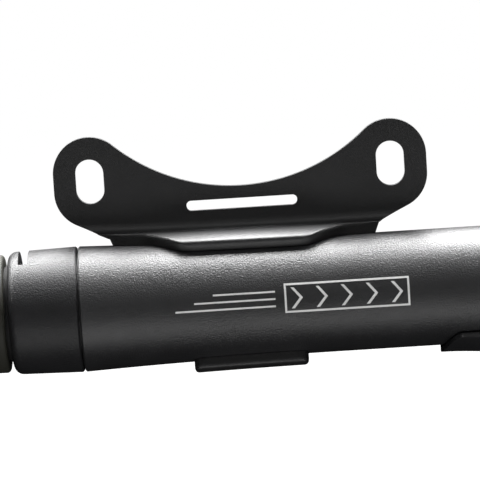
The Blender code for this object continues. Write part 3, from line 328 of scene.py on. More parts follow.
grained_black = finish("grained_black", (0.016, 0.016, 0.017), 0.37, 0.00030, 0.000125)
collar_black = finish("collar_black", (0.015, 0.015, 0.016), 0.39, 0.00030, 0.000130, shine=0.26)
satin_black = finish("satin_black", (0.014, 0.014, 0.0145), 0.45, 0.00030, 0.000070, spread=0.1,
                     shine=0.42)
lever_black = finish("lever_black", (0.013, 0.013, 0.014), 0.42, 0.00050, 0.000010)
olive_rubber = finish("olive_rubber", (0.026, 0.026, 0.021), 0.58, 0.00030, 0.000012, shine=0.18)
soft_black = finish("soft_black", (0.016, 0.016, 0.016), 0.70, 0.00050, 0.000010, shine=0.3)
natural_plastic = finish("natural_plastic", (0.55, 0.54, 0.50), 0.42, 0.00050, 0.000006, spread=0.05)
drawn_aluminium = finish("drawn_aluminium", (0.80, 0.80, 0.81), 0.28, 0.00025, 0.000003, 0.006, 0.05, 1.0,
                         stretch=(0.06, 1.0, 1.0))
turned_steel = finish("turned_steel", (0.60, 0.60, 0.61), 0.30, 0.00020, 0.000003, 0.004, 0.08, 1.0)
turned_brass = finish("turned_brass", (0.70, 0.52, 0.25), 0.32, 0.00020, 0.000003, 0.004, 0.08, 1.0)
white_ink = finish("white_ink", (0.80, 0.80, 0.79), 0.50, 0.00030, 0.000004, 0.003, 0.06)
soft_plastic = finish("soft_plastic", (0.015, 0.015, 0.016), 0.38, 0.00050, 0.000008)
print("finishes:", len([m for m in bpy.data.materials if m.use_nodes]))

# %% [markdown]
# ## The barrel
#
# The barrel is a plain tube that flares towards the handle, with a step down at each end where the
# collar and the head screw on. It is turned from its section: the bore, the two necks, and the long
# flare, which needs enough stations to stay a smooth curve in a long highlight.

# %% Turn the barrel
stations = [BARREL_LEFT + FLARE_LENGTH * (step / 16) ** 1.3 for step in range(1, 17)]
section = [(NECK_LEFT, BORE_RADIUS), (NECK_LEFT, NECK_RADIUS), (BARREL_LEFT, NECK_RADIUS)]
section += [(BARREL_LEFT, flared(BARREL_LEFT) - 0.0003), (BARREL_LEFT + 0.0003, flared(BARREL_LEFT))]
section += [(x, flared(x)) for x in stations]
section += [(BARREL_RIGHT, BARREL_RADIUS), (BARREL_RIGHT, NECK_RADIUS), (NECK_RIGHT, NECK_RADIUS)]
section += [(NECK_RIGHT, BORE_RADIUS)]
barrel = spun("pump_barrel", section, steps=128)
hand_over(barrel, grained_black, "pump", "barrel", "barrel")

# %% [markdown]
# ## The collar
#
# The collar closes the barrel's handle end and holds the handle still when the pump is carried: a
# small lug on the handle slides in through an opening in the collar's edge, and a slot runs round
# from there. It is turned with a rounded end, and the slot is cut with two short part-turns.

# %% Turn the collar and cut its slot
THREAD_RADIUS = NECK_RADIUS + GAP
MOUTH_RADIUS = THREAD_RADIUS - 0.0015
LIP_FACE = COLLAR_LEFT + 0.0050
SLOT_LEFT, SLOT_WIDTH = COLLAR_LEFT + 0.0025, 0.0020
edge = curve_points((COLLAR_LEFT + 0.0020, COLLAR_RADIUS - 0.0023), 0.0020, 180, 90, 10)
section = [(COLLAR_LEFT + 0.0003, MOUTH_RADIUS), (COLLAR_LEFT, MOUTH_RADIUS + 0.0003), *edge]
section += [(COLLAR_RIGHT - 0.0003, COLLAR_RADIUS), (COLLAR_RIGHT, COLLAR_RADIUS - 0.0003)]
section += [(COLLAR_RIGHT, THREAD_RADIUS), (LIP_FACE, THREAD_RADIUS), (LIP_FACE, MOUTH_RADIUS)]
collar = spun("lock_collar", section, steps=128)


def ring_cut(left, right, start, stop):
    """A part-turn cutter between two angles, in degrees from the top towards the back."""
    low, high = MOUTH_RADIUS - 0.001, COLLAR_RADIUS + 0.002
    turn = math.radians(stop - start)
    out = (0.0, math.sin(math.radians(start)), math.cos(math.radians(start)))
    section = [(left, low), (left, high), (right, high), (right, low)]
    return spun("cutter", section, 40, turn=turn, out=out, fill=True)


SLOT_START, SLOT_MOUTH, SLOT_STOP = -32.0, 50.0, 60.0
combine(collar, "DIFFERENCE", ring_cut(SLOT_LEFT, SLOT_LEFT + SLOT_WIDTH, SLOT_START, SLOT_STOP))
mouth = ring_cut(COLLAR_LEFT - 0.0010, SLOT_LEFT + SLOT_WIDTH / 2, SLOT_MOUTH, SLOT_STOP)
combine(collar, "DIFFERENCE", mouth)
round_edges(collar, 0.00015, 2, 50)
hand_over(collar, collar_black, "pump", "barrel", "collar")

# %% [markdown]
# ## The handle
#
# The handle is a rubber sleeve over a plastic tube, with a cap on its end. The tube's nose reaches
# into the collar and closes the gap between them. All three are turned. The sleeve has a slight
# waist for the hand and five grooves in its middle, each a rounded dip and not a saw cut, because
# that is how soft rubber comes out of its mould.

# %% Turn the sleeve, the tube and the cap
GRIP_LENGTH = GRIP_FRONT - GRIP_BACK
GRIP_RADIUS = BARREL_RADIUS + 0.00017
GRIP_INNER = GRIP_RADIUS - 0.00235
GRIP_WAIST, GRIP_SWELL, GRIP_EDGE = 0.0003, 0.0004, 0.0008
GROOVE_PITCH, GROOVE_DEPTH, GROOVE_HALF = 0.0036, 0.0006, 0.0010


def smooth(share):
    share = min(max(share, 0.0), 1.0)
    return share * share * (3 - 2 * share)


def grip_radius(x):
    share = (GRIP_FRONT - x) / GRIP_LENGTH
    radius = GRIP_RADIUS - GRIP_WAIST * (1 - math.cos(math.tau * share))
    radius += GRIP_SWELL * smooth(share * 2 - 1)
    for groove in range(-2, 3):
        away = abs(x - (GRIP_FRONT + GRIP_BACK) / 2 - groove * GROOVE_PITCH)
        radius -= GROOVE_DEPTH * (1 - smooth(away / GROOVE_HALF))
    return radius


front_edge = curve_points((GRIP_FRONT - GRIP_EDGE, GRIP_RADIUS - GRIP_EDGE), GRIP_EDGE, 0, 90, 6)
back_radius = grip_radius(GRIP_BACK)
back_edge = curve_points((GRIP_BACK + GRIP_EDGE, back_radius - GRIP_EDGE), GRIP_EDGE, 90, 180, 6)
STEPS = 150
middle = [GRIP_FRONT - GRIP_EDGE - (GRIP_LENGTH - 2 * GRIP_EDGE) * step / STEPS for step in range(1, STEPS)]
section = [(GRIP_FRONT, GRIP_INNER), *front_edge, *[(x, grip_radius(x)) for x in middle], *back_edge]
section.append((GRIP_BACK, GRIP_INNER))
sleeve = spun("grip_rubber", section, steps=112)
hand_over(sleeve, olive_rubber, "handle", "grip", "grip_sleeve")

SPIGOT = MOUTH_RADIUS - 0.0004
rod_hole = ROD_RADIUS + GAP
well = CAP_PLUG - 0.0032 + 0.0120
WELL_RADIUS, NECK_HOLE, FLOOR = 0.0075, 0.00325, 0.0037
section = [(CORE_FRONT, rod_hole + 0.0004), (CORE_FRONT, SPIGOT - 0.0005)]
section += [(CORE_FRONT - 0.0002, SPIGOT - 0.0001), (CORE_FRONT - 0.0005, SPIGOT)]
section += [(GRIP_FRONT + GAP, SPIGOT), (GRIP_FRONT + GAP, GRIP_INNER - GAP)]
section += [(CORE_BACK, GRIP_INNER - GAP), (CORE_BACK, WELL_RADIUS), (well, WELL_RADIUS)]
section += [(well, NECK_HOLE), (well + FLOOR, NECK_HOLE), (well + FLOOR, rod_hole)]
section += [(CORE_FRONT - 0.0004, rod_hole)]
tube = spun("handle_tube", section, steps=96)
lug_low, lug_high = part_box("lock_lug")
lug_middle = (lug_low + lug_high) / 2
outward = Vector((0.0, lug_middle.y - AXIS.y, lug_middle.z - AXIS.z)).normalized()
put_down()
turned_out = outward.to_track_quat("Z", "Y").to_euler()
lug_place = lug_middle + outward * 0.0001
LUG_HOLE, LUG_DEPTH = 0.00095, 0.0056
bpy.ops.mesh.primitive_cylinder_add(vertices=32, radius=LUG_HOLE, depth=LUG_DEPTH,
                                    location=lug_place, rotation=turned_out)
combine(tube, "DIFFERENCE", bpy.context.object)
hand_over(tube, soft_black, "handle", "head", "handle_core")

dome = []
for step in range(13):
    turn = math.radians(90 * step / 12)
    x = CAP_BACK + 0.0030 * (1 - math.sin(turn))
    dome.append((x, CAP_RADIUS * max(math.cos(turn), 0.0) ** 0.6 if step < 12 else 0.0))
section = [(CAP_PLUG, 0.0), (CAP_PLUG, 0.0070), (CAP_PLUG - 0.0002, 0.0072), (GRIP_BACK - GAP, 0.0072)]
section += [(GRIP_BACK - GAP, CAP_RADIUS - 0.0003), (GRIP_BACK - GAP - 0.0003, CAP_RADIUS), *dome]
cap = spun("handle_cap", section, steps=96)
open_mesh(cap)
bpy.ops.mesh.remove_doubles(threshold=2e-6)
put_down()
hand_over(cap, soft_plastic, "handle", "end_cap", "handle_end_cap")

# %% [markdown]
# ## The rod
#
# The rod only shows when the handle is pulled out, and then it is the brightest thing in view. It
# is drawn aluminium, so the piece itself is a plain turned bar and the finish does the work: fine
# lines along its length, made by stretching the grain along X.

# %% Turn the rod
TAPPED_RADIUS, TAPPED_DEPTH, STEP_RADIUS = 0.0017, 0.0100, ROD_RADIUS - 0.00105
left_tap, right_tap = ROD_LEFT + TAPPED_DEPTH, ROD_RIGHT - TAPPED_DEPTH
section = [(left_tap, 0.0), (left_tap, TAPPED_RADIUS), (ROD_LEFT, TAPPED_RADIUS), (ROD_LEFT, STEP_RADIUS)]
section += [(ROD_LEFT + 0.0043, STEP_RADIUS), (ROD_LEFT + 0.0043, ROD_RADIUS - 0.0002)]
section += [(ROD_LEFT + 0.0045, ROD_RADIUS), (ROD_RIGHT - 0.0002, ROD_RADIUS)]
section += [(ROD_RIGHT, ROD_RADIUS - 0.0002), (ROD_RIGHT, TAPPED_RADIUS)]
section += [(right_tap, TAPPED_RADIUS), (right_tap, 0.0)]
rod = spun("pump_rod", section, steps=64)
hand_over(rod, drawn_aluminium, "plunger_rod", "rod", "piston_rod")

# %% [markdown]
# ## The head
#
# The head is one moulding: a round body on the barrel's line with a boss across it for the valve.
# The body and the boss are turned apart and joined, then the chamber for the gasket, the room for
# the lever's cam and the hole for its pin are cut through both, in the order a toolmaker would.

# %% Turn, join and drill the head
SHOULDER = NECK_RIGHT + 0.0021
THROAT_END = SHOULDER + 0.0073
BOSS_TOP = HEAD_RADIUS + 0.0039
PORT_FACE = BOSS_TOP + 0.0050
CHAMBER_RADIUS, THROAT_RADIUS, BOSS_RADIUS, NOSE_RADIUS = 0.0054, 0.0045, 0.0100, 0.0078
DOME_ROUND = 0.0045
dome = curve_points((HEAD_RIGHT - DOME_ROUND, HEAD_RADIUS - DOME_ROUND), DOME_ROUND, 90, 0, 14)
section = [(THROAT_END, 0.0), (THROAT_END, THROAT_RADIUS), (SHOULDER, THROAT_RADIUS)]
section += [(SHOULDER, THREAD_RADIUS), (HEAD_LEFT, THREAD_RADIUS), (HEAD_LEFT, HEAD_RADIUS)]
section += [*dome, (HEAD_RIGHT, 0.0)]
head = spun("pump_head", section, steps=112)
BOSS_FOOT = 0.0060
boss = [(BOSS_FOOT, 0.0), (BOSS_FOOT, BOSS_RADIUS), (BOSS_TOP, BOSS_RADIUS)]
boss += [(BOSS_TOP, NOSE_RADIUS), (PORT_FACE, NOSE_RADIUS), (PORT_FACE, 0.0)]
boss = [(AXIS.z + height, far) for height, far in boss]
combine(head, "UNION", spun("boss", boss, 90, UP, VALVE, out=ALONG))
CAM_BASE, CLEAR_OF_HEAD = 0.0044, 0.03
floor, above = PIVOT.z + CAM_BASE - GAP, AXIS.z + CLEAR_OF_HEAD
chamber = [(floor, 0.0), (floor, CHAMBER_RADIUS), (above, CHAMBER_RADIUS), (above, 0.0)]
combine(head, "DIFFERENCE", spun("chamber", chamber, 72, UP, VALVE, out=ALONG))
pin_low, pin_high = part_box("lever_pin")
PIN_RADIUS = (pin_high.z - pin_low.z) / 2
PIN_HOLE, HUB_HALF = PIN_RADIUS + 0.00015, 0.0042
HUB_LOW, HUB_HIGH = AXIS.y - HUB_HALF, AXIS.y + HUB_HALF
room = [(0.0067, -0.0060), (0.0067, 0.0), *curve_points((0.0, 0.0), 0.0064, 0, 180, 20)]
room += [(-0.0096, -0.0012), (-0.0096, -0.0060)]
room = [(x, 0.0, z) for x, z in room]
room_width = 2 * (HUB_HALF + GAP)
combine(head, "DIFFERENCE", block("room", room, (PIVOT.x, HUB_LOW - GAP, PIVOT.z), (0.0, room_width, 0.0)))


def pin_drill(reach_out):
    """A drill for the pin's hole that reaches this far to each side of the middle."""
    near, far = AXIS.y - reach_out, AXIS.y + reach_out
    section = [(near, 0.0), (near, PIN_HOLE), (far, PIN_HOLE), (far, 0.0)]
    return spun("drill", section, 40, ACROSS, PIVOT, out=UP)


combine(head, "DIFFERENCE", pin_drill(0.020))
AIR_RADIUS, AIR_RISE = 0.0013, 0.0026
start, stop = THROAT_END - 0.001, PIVOT.x - CAM_BASE
air = [(start, 0.0), (start, AIR_RADIUS), (stop, AIR_RADIUS), (stop, 0.0)]
combine(head, "DIFFERENCE", spun("air", air, 24, ALONG, AXIS + Vector((0.0, 0.0, AIR_RISE)), out=UP))
round_edges(head, 0.00035, 3, 42)
hand_over(head, grained_black, "pump", "head", "head_body", flats=True)

# %% [markdown]
# ## The port nut
#
# The nut screws down over the boss and holds the rubber gasket. Fingers need a grip on it, so it
# has twenty grooves round its side: each is two neighbouring faces of the turned wall, inset a
# little and pushed in, which leaves a clean rib between two grooves.

# %% Turn the nut and groove its side
nut_low, nut_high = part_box("port_nut")
NUT_RADIUS = (nut_high.x - nut_low.x) / 2
NUT_INNER, NUT_BORE, NUT_FACES = 0.0081, 0.0043, 100
section = [(nut_low.z, NUT_INNER), (nut_low.z, NUT_RADIUS - 0.0003), (nut_low.z + 0.0003, NUT_RADIUS)]
section += [(nut_high.z - 0.0012, NUT_RADIUS), (nut_high.z - 0.0008, NUT_RADIUS - 0.0001)]
section += [(nut_high.z - 0.0003, NUT_RADIUS - 0.0004), (nut_high.z, NUT_RADIUS - 0.0010)]
section += [(nut_high.z, 0.0051), (nut_high.z - 0.0004, 0.0046), (nut_high.z - 0.0008, NUT_BORE)]
section += [(nut_high.z - 0.0017, NUT_BORE), (nut_high.z - 0.0017, NUT_INNER)]
nut = spun("ribbed_nut", section, NUT_FACES, UP, VALVE, out=ALONG)
face_turn = 360 / NUT_FACES
bpy.context.tool_settings.mesh_select_mode = (False, False, True)
for face in nut.data.polygons:
    away = face.center - VALVE
    on_wall = math.hypot(away.x, away.y) > NUT_RADIUS - 0.00005 and abs(face.normal.z) < 0.1
    step = round((math.degrees(math.atan2(away.y, away.x)) - face_turn / 2) / face_turn)
    face.select = on_wall and step % 5 in (0, 1)
bpy.context.view_layer.objects.active = nut
bpy.ops.object.mode_set(mode="EDIT")
bpy.ops.mesh.inset(thickness=0.00018, depth=-0.00038)
put_down()
hand_over(nut, soft_plastic, "pump", "head", "port_nut")

# %% [markdown]
# ## The gasket and the spring
#
# These two give way when the pump is used. The lever's plunger squeezes the gasket on to the tyre's
# valve, and the check valve presses the spring. The gasket is turned with three shallow lips in its
# bore. The spring is one ring of wire that a Screw modifier winds along the axis.

# %% Turn the gasket and wind the spring
rubber_low, rubber_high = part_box("valve_gasket")
RUBBER_RADIUS = (rubber_high.x - rubber_low.x) / 2
RUBBER_HOLE = RUBBER_RADIUS - 0.00125
LIP, LIPS, LIP_STEPS, MOUTH = 0.0002, 3, 30, 0.0003
lips = []
for step in range(LIP_STEPS + 1):
    height = rubber_low.z + MOUTH + (rubber_high.z - rubber_low.z - 2 * MOUTH) * step / LIP_STEPS
    lips.append((height, RUBBER_HOLE + LIP * math.cos(math.tau * LIPS * step / LIP_STEPS) / 2 + LIP / 2))
section = [*lips, (rubber_high.z, RUBBER_HOLE + 0.0005), (rubber_high.z, RUBBER_RADIUS - 0.0002)]
section += [(rubber_high.z - 0.0002, RUBBER_RADIUS), (rubber_low.z + 0.0002, RUBBER_RADIUS)]
section += [(rubber_low.z, RUBBER_RADIUS - 0.0002), (rubber_low.z, RUBBER_HOLE + 0.0005)]
gasket = spun("port_gasket", section, 72, UP, VALVE, out=ALONG)
hand_over(gasket, soft_black, "pump", "seals", "valve_gasket")
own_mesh(gasket)

wire_low, wire_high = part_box("check_spring")
WIRE, TURNS = 0.00025, 3
COIL_RADIUS = (wire_high.y - wire_low.y) / 2 - WIRE
COIL_LENGTH = wire_high.x - wire_low.x
ring = curve_points((wire_low.x + WIRE, COIL_RADIUS), WIRE, 0, 360, 12)[:-1]
coil = draw_loop("wound_spring", [(x, 0.0, far) for x, far in ring])
put_down()
winding = coil.modifiers.new("winding", "SCREW")
winding.axis = "X"
winding.screw_offset = (COIL_LENGTH - 2 * WIRE) / TURNS
winding.iterations = TURNS
winding.steps = winding.render_steps = 28
winding.use_merge_vertices = False
apply_modifier(coil, winding)
open_mesh(coil)
bpy.ops.mesh.fill_holes(sides=0)
bpy.ops.mesh.select_all(action="SELECT")
bpy.ops.transform.translate(value=(0.0, AXIS.y, AXIS.z))
close_mesh()
hand_over(coil, turned_steel, "pump", "steel", "check_spring")
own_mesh(coil)

# %% [markdown]
# ## The thumb lever
#
# The lever lies under the barrel and swings down to squeeze the gasket on a tyre's valve. Its arm is
# a thin shell that follows the barrel's round, so it starts as a flat grid, is rolled round the axis
# in code, because Bend needs a window, and gets its thickness from Solidify. The hub is a plate with
# a cam's outline, joined to the arm and drilled for the pin.

# %% Roll the arm, add the hub and drill it
TIP_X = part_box("thumb_lever")[0].x
ARM_END = PIVOT.x - 0.0045
CLEAR = 0.0005
ARM_SIDE, ARM_THIN, ARM_THICKER = 46, 0.0010, 0.0014


def rolled(name, columns, rows, place):
    """A flat grid whose points are moved to place(u, v), with u along the barrel and v round it."""
    put_down()
    bpy.ops.mesh.primitive_grid_add(x_subdivisions=columns, y_subdivisions=rows, size=1, location=(0, 0, 0))
    piece = bpy.context.object
    piece.name = name
    for vertex in piece.data.vertices:
        vertex.co = place(vertex.co.x + 0.5, vertex.co.y + 0.5)
    put_down()
    return piece


def around(x, radius, degrees):
    """A point at an angle round the barrel, in degrees from the top towards the back."""
    turn = math.radians(degrees)
    return Vector((x, AXIS.y + radius * math.sin(turn), AXIS.z + radius * math.cos(turn)))


def arm_inner(x):
    """The arm's inner radius: it clears the barrel, and further on the wider head."""
    step = HEAD_RADIUS - BARREL_RADIUS
    return BARREL_RADIUS + CLEAR + step * smooth((x - (HEAD_LEFT - 2 * CLEAR - step)) / (step + CLEAR))


def arm_outer(x, side):
    """The arm's outer radius: thin at the tip, thicker towards the hub, and thinner at its sides."""
    share = (x - TIP_X) / (ARM_END - TIP_X)
    thick = ARM_THIN + ARM_THICKER * smooth(share * 1.5) * (1 - 0.25 * side**4)
    return arm_inner(x) + thick


def arm_place(u, v):
    side = abs(2 * v - 1)
    start = TIP_X + 0.0048 * (1 - math.sqrt(max(1 - (side * 0.985) ** 2, 0.0)))
    x = start + (ARM_END - start) * u
    return around(x, arm_inner(x), 180 + ARM_SIDE * (2 * v - 1))


arm = rolled("thumb_arm", 60, 36, arm_place)
count = len(arm.data.vertices)
thicken(arm, 0.001)
radii = [math.hypot(v.co.y - AXIS.y, v.co.z - AXIS.z) for v in arm.data.vertices]
for vertex, twin in zip(list(arm.data.vertices)[:count], list(arm.data.vertices)[count:]):
    far = vertex if radii[vertex.index] > radii[twin.index] else twin
    near = twin if far is vertex else vertex
    spoke = Vector((0.0, near.co.y - AXIS.y, near.co.z - AXIS.z))
    side = math.degrees(math.acos(max(-1.0, min(1.0, -spoke.z / spoke.length)))) / ARM_SIDE
    far.co = Vector((near.co.x, AXIS.y, AXIS.z)) + spoke.normalized() * arm_outer(near.co.x, side)
open_mesh(arm)
close_mesh()
CAM_RISE, CAM_TURN = 0.0015, 85
rate = CAM_RISE / math.radians(CAM_TURN)
cam = []
for step in range(25):
    turn = math.radians(90 - CAM_TURN + CAM_TURN * step / 24)
    far = CAM_BASE + rate * (math.radians(90) - turn)
    cam.append((far * math.cos(turn) + rate * math.sin(turn), far * math.sin(turn) - rate * math.cos(turn)))
cam += curve_points((0.0, 0.0), CAM_BASE, 95, 190, 18)
web = -(HEAD_RADIUS + CLEAR + PIVOT.z - AXIS.z)
hub_bottom = 0.0062
cam += [(-0.0090, web - 0.0006), (-0.0090, web - 0.0018), (-0.0045, 0.0002 - hub_bottom)]
for step in range(19):
    share = step / 18
    turn = math.radians(-90 + 68 * share)
    far = hub_bottom + (0.0056 - hub_bottom) * share
    cam.append((far * math.cos(turn), far * math.sin(turn)))
cam = [(x, 0.0, z) for x, z in cam]
combine(arm, "UNION", block("hub", cam, (PIVOT.x, HUB_LOW, PIVOT.z), (0.0, HUB_HIGH - HUB_LOW, 0.0)))
combine(arm, "DIFFERENCE", pin_drill(0.008))
round_edges(arm, 0.00022, 3, 40)
hand_over(arm, lever_black, "lever", "lever", "thumb_lever", flats=True)

section = [(pin_low.y, 0.0), (pin_low.y, PIN_RADIUS - 0.0003), (pin_low.y + 0.0001, PIN_RADIUS - 0.0001)]
section += [(pin_low.y + 0.0003, PIN_RADIUS), (pin_high.y - 0.0003, PIN_RADIUS)]
section += [(pin_high.y - 0.0001, PIN_RADIUS - 0.0001), (pin_high.y, PIN_RADIUS - 0.0003)]
section += [(pin_high.y, 0.0)]
pin = spun("pivot_pin", section, 48, ACROSS, PIVOT, out=UP)
hand_over(pin, turned_steel, "pump", "steel", "lever_pin")

# %% [markdown]
# ## The bracket
#
# The bracket is one moulding with two jobs. Its flat plate bolts to the bicycle's frame through two
# slots, and its saddle grips the barrel with a short jaw in front and a long one that goes round
# behind and under. The saddle starts as a flat blank, a grid whose width follows the jaws, that is
# rolled round the barrel and thickened. Cutting a tube to shape would need many cutters.

# %% Roll the saddle from a flat blank
WALL = 0.0021
SADDLE_TOP = BARREL_RADIUS + GAP + WALL
JAW, CORNER, SHELF, LEAN = 0.0121, 0.0225, 0.0279, 0.0009
EDGE, SNUG = 0.0009, 0.0001
FRONT_END, SHELF_START, SHELF_END, TAPER_END, LOW_END = -27.0, -4.0, 18.0, 42.0, 208.0
JAW_ROUND = 0.0016


def half_width(degrees):
    """Half the blank's width at an angle: narrow at the jaws, wide under the plate."""
    if degrees < SHELF_START:
        share = (degrees - FRONT_END) / (SHELF_START - FRONT_END)
        return JAW + (CORNER - JAW) * unsmooth(share)
    if degrees < SHELF_END:
        inset = max(0.0, 1 - (degrees - SHELF_START) / 3.0, 1 - (SHELF_END - degrees) / 3.0)
        return SHELF - (SHELF - CORNER) * inset
    if degrees < TAPER_END:
        return CORNER - (CORNER - JAW) * unsmooth((degrees - SHELF_END) / (TAPER_END - SHELF_END))
    left = (LOW_END - degrees) * math.radians(1) * SADDLE_TOP
    if left < JAW_ROUND:
        return JAW - JAW_ROUND + math.sqrt(max(JAW_ROUND**2 - (JAW_ROUND - left) ** 2, 0.0))
    return JAW


def unsmooth(share):
    """The inverse of smooth(): slow in the middle and quick at both ends."""
    share = min(max(share, 0.0), 1.0)
    return 0.5 - math.sin(math.asin(1 - 2 * share) / 3)


def blank_rows():
    """Angles for the grid's rows, close together where the outline curves."""
    rows = [FRONT_END + (SHELF_START - FRONT_END) * step / 30 for step in range(31)]
    rows += [-3.0, -2.0, -1.0, 1.5, 4.0, 7.0, 10.0, 12.5, 15.0, 16.0, 17.0]
    rows += [SHELF_END + (TAPER_END - SHELF_END) * step / 24 for step in range(25)]
    last = LOW_END - math.degrees(JAW_ROUND / SADDLE_TOP)
    rows += [TAPER_END + (last - TAPER_END) * step / 66 for step in range(1, 67)]
    rows += [last + (LOW_END - last) * math.sin(math.radians(90 * step / 6)) for step in range(1, 7)]
    return rows


ROWS = blank_rows()
COLUMNS = 36


def blank_place(u, v):
    degrees = ROWS[round(v * (len(ROWS) - 1))]
    x = -half_width(degrees) * math.cos(math.pi * u)
    return around(x, flared(x) + SNUG, degrees)


def wall_at(x, degrees):
    """The blank's thickness: a full wall that is rounded off towards every edge."""
    arc = math.radians(1) * SADDLE_TOP
    from_ends = min(degrees - FRONT_END, LOW_END - degrees) * arc
    near_edge = min(half_width(degrees) - abs(x), from_ends, EDGE)
    return WALL - EDGE + math.sqrt(max(EDGE**2 - (EDGE - max(near_edge, 0.0)) ** 2, 0.0))


saddle = rolled("frame_clip", COLUMNS, len(ROWS) - 1, blank_place)
count = len(saddle.data.vertices)
thicken(saddle, WALL)
corners = list(saddle.data.vertices)
for near, far in zip(corners[:count], corners[count:]):
    out_near = math.hypot(near.co.y - AXIS.y, near.co.z - AXIS.z)
    if out_near > math.hypot(far.co.y - AXIS.y, far.co.z - AXIS.z):
        near, far = far, near
    spoke = Vector((0.0, near.co.y - AXIS.y, near.co.z - AXIS.z))
    degrees = math.degrees(math.atan2(spoke.y, spoke.z)) % 360
    degrees -= 360 if degrees > LOW_END + 1 else 0
    share = min(max((abs(near.co.x) - CORNER) / (SHELF - CORNER), 0.0), 1.0)
    share *= smooth(spoke.z / spoke.length * 2)
    x = near.co.x + math.copysign(LEAN * share, near.co.x)
    thick = wall_at(near.co.x, degrees) * (1 - share) + WALL * share + GAP - SNUG
    far.co = Vector((x, AXIS.y, AXIS.z)) + spoke.normalized() * (spoke.length + thick)
open_mesh(saddle)
close_mesh()
print("saddle blank:", len(ROWS), "rows,", len(saddle.data.polygons), "faces")

# %% [markdown]
# The plate is drawn from its end, with the fillets that join it to the saddle in front and behind,
# and pushed along X in short steps so that its foot can follow the barrel's flare. Its outline from
# the front, two round ears and a sweeping top edge, is a second solid, and where the two overlap is
# the plate. The slots are cut last of all, and one bevel then rounds every edge together.

# %% Shape the plate and join it to the saddle
PLATE_BACK = -AXIS.y
PLATE_FRONT = PLATE_BACK - 0.0020
FRONT_FILLET, BACK_FILLET = 0.0022, 0.0015
BOLT_X = 0.032
BOLT_Z = SADDLE_TOP + 0.01195
EAR = 0.0077
EAR_TOP = BOLT_Z + 0.00175
EAR_FOOT = BOLT_Z - 0.00215
WAIST = SADDLE_TOP + 0.0092
SLOPE = 0.47
BOLT_SLOT, STRAP_SLOT, THROUGH = (0.0060, 0.0095, 0.0030), (0.0236, 0.0022, 0.0010), 0.008
STRAP_Z = SADDLE_TOP + 0.00547

skin_radius = SADDLE_TOP - 0.00004
front_y, back_y = PLATE_FRONT - FRONT_FILLET, PLATE_BACK + BACK_FILLET
front_z = math.sqrt((skin_radius + FRONT_FILLET) ** 2 - front_y**2)
back_z = math.sqrt((skin_radius + BACK_FILLET) ** 2 - back_y**2)
front = curve_points((front_y, front_z), FRONT_FILLET, 0, math.degrees(math.atan2(-front_z, -front_y)), 14)
back = curve_points((back_y, back_z), BACK_FILLET, math.degrees(math.atan2(-back_z, -back_y)), -180, 12)
inner = skin_radius - 0.0010
start, stop = math.atan2(front_y, front_z), math.atan2(back_y, back_z)
turns = [start + (stop - start) * step / 6 for step in range(7)]
under = [(inner * math.sin(turn), inner * math.cos(turn)) for turn in turns]
end_view = [(PLATE_FRONT, 0.040), *front, *under, *back, (PLATE_BACK, 0.040)]
half_reach = BOLT_X + EAR + 0.002
plate = draw_loop("plate", [AXIS + Vector((-half_reach, y, z)) for y, z in end_view])
bpy.ops.mesh.edge_face_add()
STEPS = 48
for step in range(STEPS):
    bpy.ops.mesh.extrude_region_move(TRANSFORM_OT_translate={"value": (2 * half_reach / STEPS, 0.0, 0.0)})
close_mesh()
for vertex in plate.data.vertices:
    height = vertex.co.z - AXIS.z
    vertex.co.z += (flared(vertex.co.x) - BARREL_RADIUS) * (1 - smooth((height - front_z + 0.001) / 0.004))

rise = EAR_TOP - WAIST
sweep = (BOLT_X**2 + rise**2 - EAR**2) / (2 * (EAR + rise))
meet = math.degrees(math.atan2(WAIST + sweep - EAR_TOP, -BOLT_X))
flank = math.degrees(math.atan(SLOPE))
ear = curve_points((BOLT_X, EAR_FOOT), EAR, flank - 90, 0, 16)
ear += curve_points((BOLT_X, EAR_TOP), EAR, 0, meet, 32)
foot_z = SADDLE_TOP - 0.0030
foot_x = ear[0][0] - (ear[0][1] - foot_z) / SLOPE
top_edge = curve_points((0.0, WAIST + sweep), sweep, meet - 180, -meet, 64)[1:-1]
outline = [(foot_x, foot_z), *ear, *top_edge, *[(-x, z) for x, z in reversed(ear)], (-foot_x, foot_z)]
outline = [(x, 0.0, z) for x, z in outline]
combine(plate, "INTERSECT", block("outline", outline, AXIS - Vector((0, 0.012, 0)), (0.0, 0.024, 0.0)))
combine(saddle, "UNION", plate)


def slot_outline(x, z, along, across, corner):
    points = []
    for right, up, turn in ((1, 1, 0), (-1, 1, 90), (-1, -1, 180), (1, -1, 270)):
        middle = (x + right * (along / 2 - corner), z + up * (across / 2 - corner))
        points += curve_points(middle, corner, turn, turn + 90, 12)
    kept = [point for index, point in enumerate(points) if math.dist(point, points[index - 1]) > 1e-6]
    return [(x, 0.0, z) for x, z in kept]


for x in (-BOLT_X, BOLT_X):
    shape = slot_outline(x, BOLT_Z, *BOLT_SLOT)
    combine(saddle, "DIFFERENCE", block("bolt_slot", shape, AXIS, (0.0, THROUGH, 0.0)))
shape = slot_outline(0.0, STRAP_Z, *STRAP_SLOT)
combine(saddle, "DIFFERENCE", block("strap_slot", shape, AXIS, (0.0, THROUGH, 0.0)))
round_edges(saddle, 0.00042, 3, 42)
hand_over(saddle, satin_black, "bracket", "bracket", "frame_bracket", sharp=30, flats=True)

# %% [markdown]
# ## The print on the barrel
#
# A pump usually carries white print along its barrel. Here it is a plain mark with no letters: a
# long frame with chevrons in it, and three lines. Each stroke is a narrow grid rolled on to the
# barrel, with a film's thickness. A decal texture would need an image, and this stays sharp.

# %% Lay strokes of ink on the barrel
LINE, GRID, FILM, LIFT = 0.00042, 0.0008, 0.00004, 0.00001


